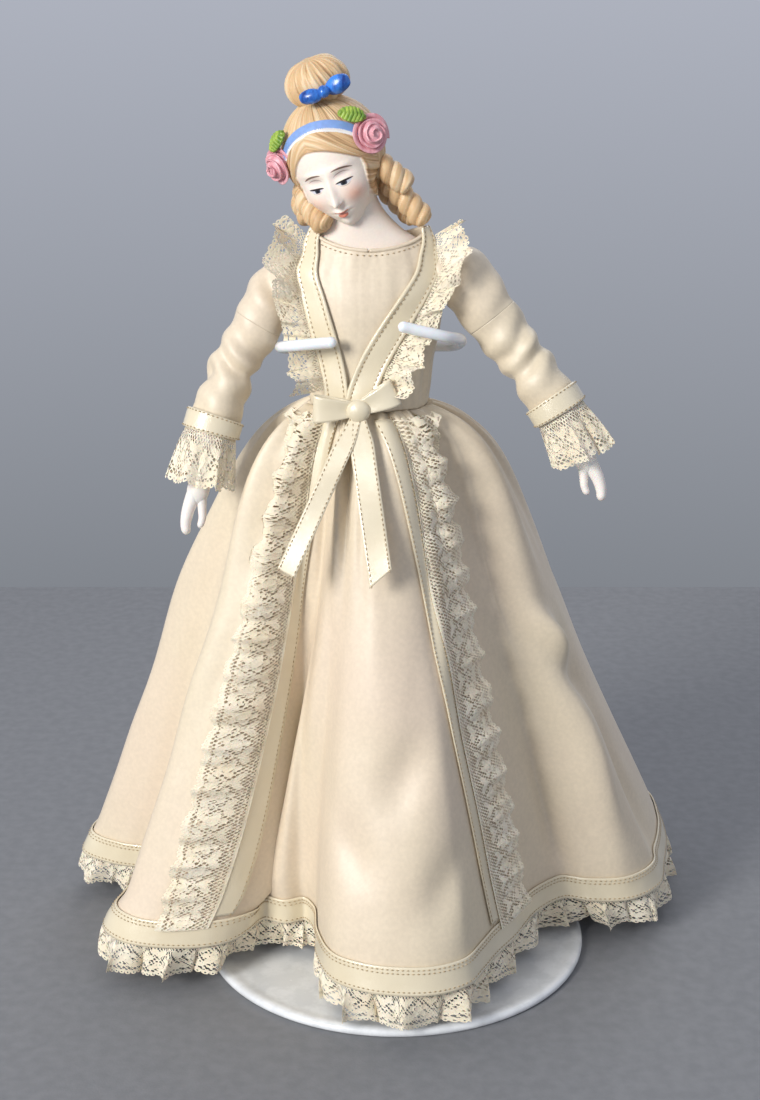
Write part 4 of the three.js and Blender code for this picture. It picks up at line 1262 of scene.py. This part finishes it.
def make_head():
    start = np.array([0, -1.0, 0.5])
    columns, rows = 560, 380
    even = np.linspace(-np.pi, np.pi, columns, endpoint=False)
    turn = even - 0.62 * np.sin(even)
    tilt = np.linspace(-np.pi / 2 + 0.01, np.pi / 2 - 0.01, rows)[:, None]
    tilt = tilt - 0.18 * np.sin(2 * (tilt + 0.25))
    level = np.cos(tilt)
    direction = np.stack([level * np.sin(turn), -level * np.cos(turn), np.sin(tilt) + 0 * turn], axis=-1)
    hair = ray_to(direction, start, np.array([0, 1.6, 3.0]), np.array([12.4, 12.6, 13.2]))
    face = ray_to(direction, start, np.array([0, -4.0, -3.2]), np.array([8.8, 8.4, 11.4]))
    r = np.log(np.exp(hair / 0.35) + np.exp(face / 0.35)) * 0.35
    P = start + direction * r[..., None]
    x, y, z = P[..., 0], P[..., 1], P[..., 2]
    front = step(-y, 2.0, 5.0)

    # Skin lies inside the hairline, the face's sides and the neck.
    inside = np.minimum(hairline(x) - z, 8.6 - np.abs(x) + 0.12 * np.minimum(z, 0)) * front
    inside = np.where(y > -3, -1, inside)
    below = step(-z, 9.5, 10.5) * step(-y, -3, 1)
    skin = np.maximum(step(inside, -0.15, 0.15), below)

    bumps = MIDDLE_BUMPS + [(side * bump[0], *bump[1:]) for side in (-1, 1) for bump in SIDE_BUMPS]
    move = sum(high * bell(x, z, x0, z0, wide, tall) for x0, z0, wide, tall, high in bumps)
    narrow = 1 - 0.3 * step(-z, 4.5, 14) * front
    x_new = x * (1 - (1 - narrow) * skin)

    around = np.arctan2(x, -(y - 1.6))
    crown = hair_paint(9 * around * 2.4, z * 0.12 + 3, 41)
    swept = hair_paint((z - hairline(x)) * 1.5 + 0.5 * np.abs(x + 2.5), np.abs(x + 2.5) * 0.16, 43)
    plane = 0.915 * (y + 4.6) + 0.404 * (z - 5.2)
    above = step(plane, -1.2, -0.8)
    grooves = mix(swept[1][..., None], crown[1][..., None], above)[..., 0]
    waves = 0.3 * np.sin(0.75 * np.abs(x + 2.5) + 0.55 * z) * (1 - above)
    band = (np.abs(plane) < 0.95) & (z > 3.5)
    rim = (plane < -0.85) & (plane > -1.4) & (z > 4.2)
    plain = step(np.abs(plane), 1.0, 1.5)
    ridge = 0.35 * step(1.1 - np.abs(plane), 0, 0.15) * (z > 3.5)
    hair_move = 0.55 + (0.14 * grooves + waves) * plain + ridge
    move = move * skin * front + hair_move * (1 - skin)
    P = np.stack([x_new, y, z], axis=-1) + direction * move[..., None]

    colour = mix(swept[0], crown[0], above)
    colour = mix(colour, HAIR_DARK, 0.5 * step(inside, -0.7, -0.1) * (inside < 0))
    face_colour = np.broadcast_to(SKIN, P.shape).copy()

    def paint(tint, share):
        face_colour[:] = mix(face_colour, tint, share)

    for side, strength in ((-1, 0.45), (1, 0.75)):
        paint(BLUSH, strength * bell(x, z, 5.0 * side, -5.4, 2.4, 2.1))
        lid = stroke(x, z, 3.7 * side, -0.1, 2.1, 0.1, 0.6)
        # A soft grey-mauve patch over each eye socket, between the lid line and the brow: painted shade.
        paint(tone(150, 130, 135), 0.45 * bell(x, z, 3.7 * side, 0.1, 2.2, 0.8))
        paint(tone(120, 88, 80), 0.8 * lid)
        eye = stroke(x, z, 3.8 * side, -1.95, 1.8, 0.4, -0.3)
        paint(tone(214, 214, 220), eye)
        from_iris = np.hypot(x - 3.6 * side, z + 2.1)
        iris = step(0.85 - from_iris, 0, 0.15) * eye
        paint(tone(52, 58, 74), iris)
        paint(tone(20, 18, 24), step(0.45 - from_iris, 0, 0.1) * eye)
        lash = stroke(x, z, 3.8 * side, -1.75, 2.2, 0.25, 0.12)
        paint(tone(38, 28, 30), lash)
        paint(tone(110, 80, 80), 0.5 * stroke(x, z, 3.8 * side, -2.5, 1.4, 0.08, -0.35))
        brow = stroke(x, z, 4.0 * side, 0.95, 2.6, 0.24, 0.5, -0.16 * side)
        paint(tone(104, 72, 56), 0.9 * brow)
        paint(tone(205, 120, 100), 0.55 * bell(x, z, 0.75 * side, -6.75, 0.3, 0.2))
    lips = np.maximum.reduce([
        stroke(x, z, 0.8, -8.75, 1.35, 0.34, 0.12), stroke(x, z, -0.8, -8.75, 1.35, 0.34, 0.12),
        stroke(x, z, 0, -9.75, 1.6, 0.5, -0.2),
    ])
    paint(LIP, 0.9 * lips)
    paint(tone(168, 62, 50), 0.9 * stroke(x, z, 0, -9.25, 1.9, 0.09, -0.12))
    colour = mix(colour, face_colour, skin)
    colour[rim & (skin < 0.5)] = tone(240, 238, 236)
    band &= skin < 0.5
    colour[band] = tone(128, 160, 214)
    shade = value_noise(x * 1.3, z * 1.3 + y, 9)
    colour[band] *= (1 + 0.08 * shade[band])[:, None]
    parts = [solid(head_to_world(P), BISQUE, colour)]
    parts += [make_bun(), make_neck()] + make_ringlets()
    piece("fine_head", parts, stands_for="porcelain_head")


def make_bun():
    turn = np.linspace(0, TAU, 260, endpoint=False)
    tilt = np.linspace(-np.pi / 2 + 0.03, np.pi / 2 - 0.03, 110)[:, None]
    colour, lines = hair_paint(turn / TAU * 64 + 1.5 * np.sin(tilt), 2 + 1.1 * tilt, 45)
    join = np.abs(np.arange(260) - 130)[None] < 4
    twist = 0.35 * np.sin(5 * turn + 2.2 * tilt) * np.cos(tilt)
    swell = 1 + (0.3 * lines * np.cos(tilt) * ~join + twist) / 8
    level = np.cos(tilt) ** 0.8 * swell
    P = np.stack([
        2.0 + 8 * level * np.sin(turn), 4.5 - 7.4 * level * np.cos(turn), 19.8 + 5.9 * np.sin(tilt) * swell,
    ], axis=-1)
    return solid(head_to_world(P), BISQUE, colour)


def make_neck():
    rows = np.array([
        (188.9, 16.4, 9.1), (194, 16.2, 7.6), (198, 15.4, 6.3), (201, 13.6, 5.7), (204, 10.4, 5.6),
        (208, 7.9, 5.6), (214, 6.8, 5.8),
    ])
    z = np.linspace(189, 214, 90)
    share = np.clip((z - 198) / 14, 0, 1)[:, None]
    top = np.array([HEAD_PLACE[0] + 3, HEAD_PLACE[1] + 1])
    centre = DOLL * (1 - share) + top * share
    line = np.concatenate([centre, z[:, None]], axis=1)
    turn = np.linspace(0, TAU, 96, endpoint=False)
    across, deep = smooth(z, rows[:, 0], rows[:, 1])[:, None], smooth(z, rows[:, 0], rows[:, 2])[:, None]
    P = line[:, None] + np.stack([across * np.sin(turn), -deep * np.cos(turn), 0 * across * turn], axis=-1)
    return solid(P, BISQUE, np.broadcast_to(SKIN * 0.97, P.shape))


# The middle line of each ringlet, from the hair down to its end.
RINGLETS = [
    [(-23, 0, 219), (-22.5, -5, 210.5), (-17.5, -9, 204.8)],
    [(-20, 4, 219), (-24, 1.5, 210.5), (-21.5, -1, 205)],
    [(-8, -4, 223), (-2.5, -7, 219), (3.3, -7, 214.6)],
    [(-8, -1, 221.5), (0.5, -4, 213), (7.6, -5, 205.6)],
    [(-9, 4, 220), (-1, 3, 211.5), (5.5, 1.5, 205.2)],
]


def make_ringlets():
    parts = []
    for number, points in enumerate(RINGLETS):
        line = spline(points, 130)
        t = np.linspace(0, 1, 130)[:, None]
        turn = np.linspace(0, TAU, 56, endpoint=False)
        coil = turn + number - 0.95 * length_of(line) * t
        groove = np.abs(np.sin(coil)) ** 0.6
        radius = (2.5 + 0.75 * groove) * round_ends(130, 0.1)[:, None]
        P = tube(line, radius, sides=56)
        colour, _ = hair_paint(3 * np.sin(coil) + 2 * np.cos(2 * coil), 5 * t + 0 * turn, 60 + number)
        # Darker where the coil is sunk: painted shade in the ringlets' grooves.
        colour = mix(colour, HAIR_DARK, 0.65 * step(0.42 - groove, 0, 0.4))
        parts.append(solid(P, BISQUE, colour))
    return parts


def make_hair_bow():
    def loop(centre, half, tilt):
        P = ball((0, 0, 0), half, 40, 48)
        ridge = 1 + 0.05 * np.cos(2.1 * P[..., 2] + 0.4) * np.cos(0.8 * P[..., 0])
        c, s = math.cos(tilt), math.sin(tilt)
        P = P * ridge[..., None]
        x, z = P[..., 0] * c - P[..., 2] * s, P[..., 0] * s + P[..., 2] * c
        return solid(head_to_world(np.stack([x, P[..., 1], z], axis=-1) + centre), BLUE)

    parts = [
        loop((2.2, -4.9, 18.9), (3.0, 1.7, 1.9), -0.1), loop((9.0, -2.4, 18.9), (3.4, 1.9, 2.3), 0.15),
        loop((5.6, -4.5, 18.9), (1.5, 1.6, 1.6), 0),
    ]
    piece("fine_hair_bow", parts, stands_for="hair_bow")


def make_rose(name, side):
    centre = np.array([12.6 * side, -4.8, 5.2])
    axis = unit(np.array([0.62 * side, -0.76, 0.1]))
    across = unit(np.cross(axis, (0, 0, 1)))
    up = np.cross(across, axis)
    winds = np.linspace(0, 1, 420)[:, None]
    height = np.linspace(0, 1, 14)
    angle = TAU * 3.6 * winds
    petal = 0.5 + 0.5 * np.cos(5.2 * angle / 1.6)
    r = 0.35 + 3.7 * winds**0.85 + (0.25 + 0.9 * winds) * height**1.5 + 0.25 * petal * height
    rise = 1.8 - 3.0 * winds**1.4 + (1.5 - 0.5 * winds + 0.35 * petal) * height - 0.9 * winds * height**3
    P = centre + axis * rise[..., None]
    P = P + across * (r * np.cos(angle))[..., None] + up * (r * np.sin(angle))[..., None]
    heart = solid(head_to_world(ball(centre + axis * -0.5, (3.6, 3.0, 3.6))), PINK)
    flower = [cloth(head_to_world(P), PINK, 0.45), heart]
    piece(f"fine_rose_{name}", flower, stands_for=f"rose_{name}")

    long = np.linspace(-1, 1, 60)[:, None]
    wide = np.linspace(-1, 1, 25)
    half = 1.9 * np.clip(1 - long**2, 0, 1) ** 0.6 + 0.05
    root = np.array([10.4 * side, -5.6, 11.6])
    out = unit(np.array([0.55 * side, -0.75, 0.55]))
    ahead = unit(np.cross(out, (0, 1, 0.4)) * -side)
    aside = np.cross(out, ahead)
    lift = 0.5 - 0.5 * np.abs(wide) + 0.16 * np.cos(22 * long + 4 * np.abs(wide)) - 0.5 * long**2
    P = root + ahead * (3.3 * long + 0 * wide)[..., None] + aside * (half * wide)[..., None]
    P = P + out * lift[..., None]
    leaf = [cloth(head_to_world(P), GREEN, 0.6)]
    piece(f"fine_rose_leaf_{name}", leaf, stands_for=f"rose_leaf_{name}")


make_head()
make_hair_bow()
for name, side in (("left", 1), ("right", -1)):
    make_rose(name, side)
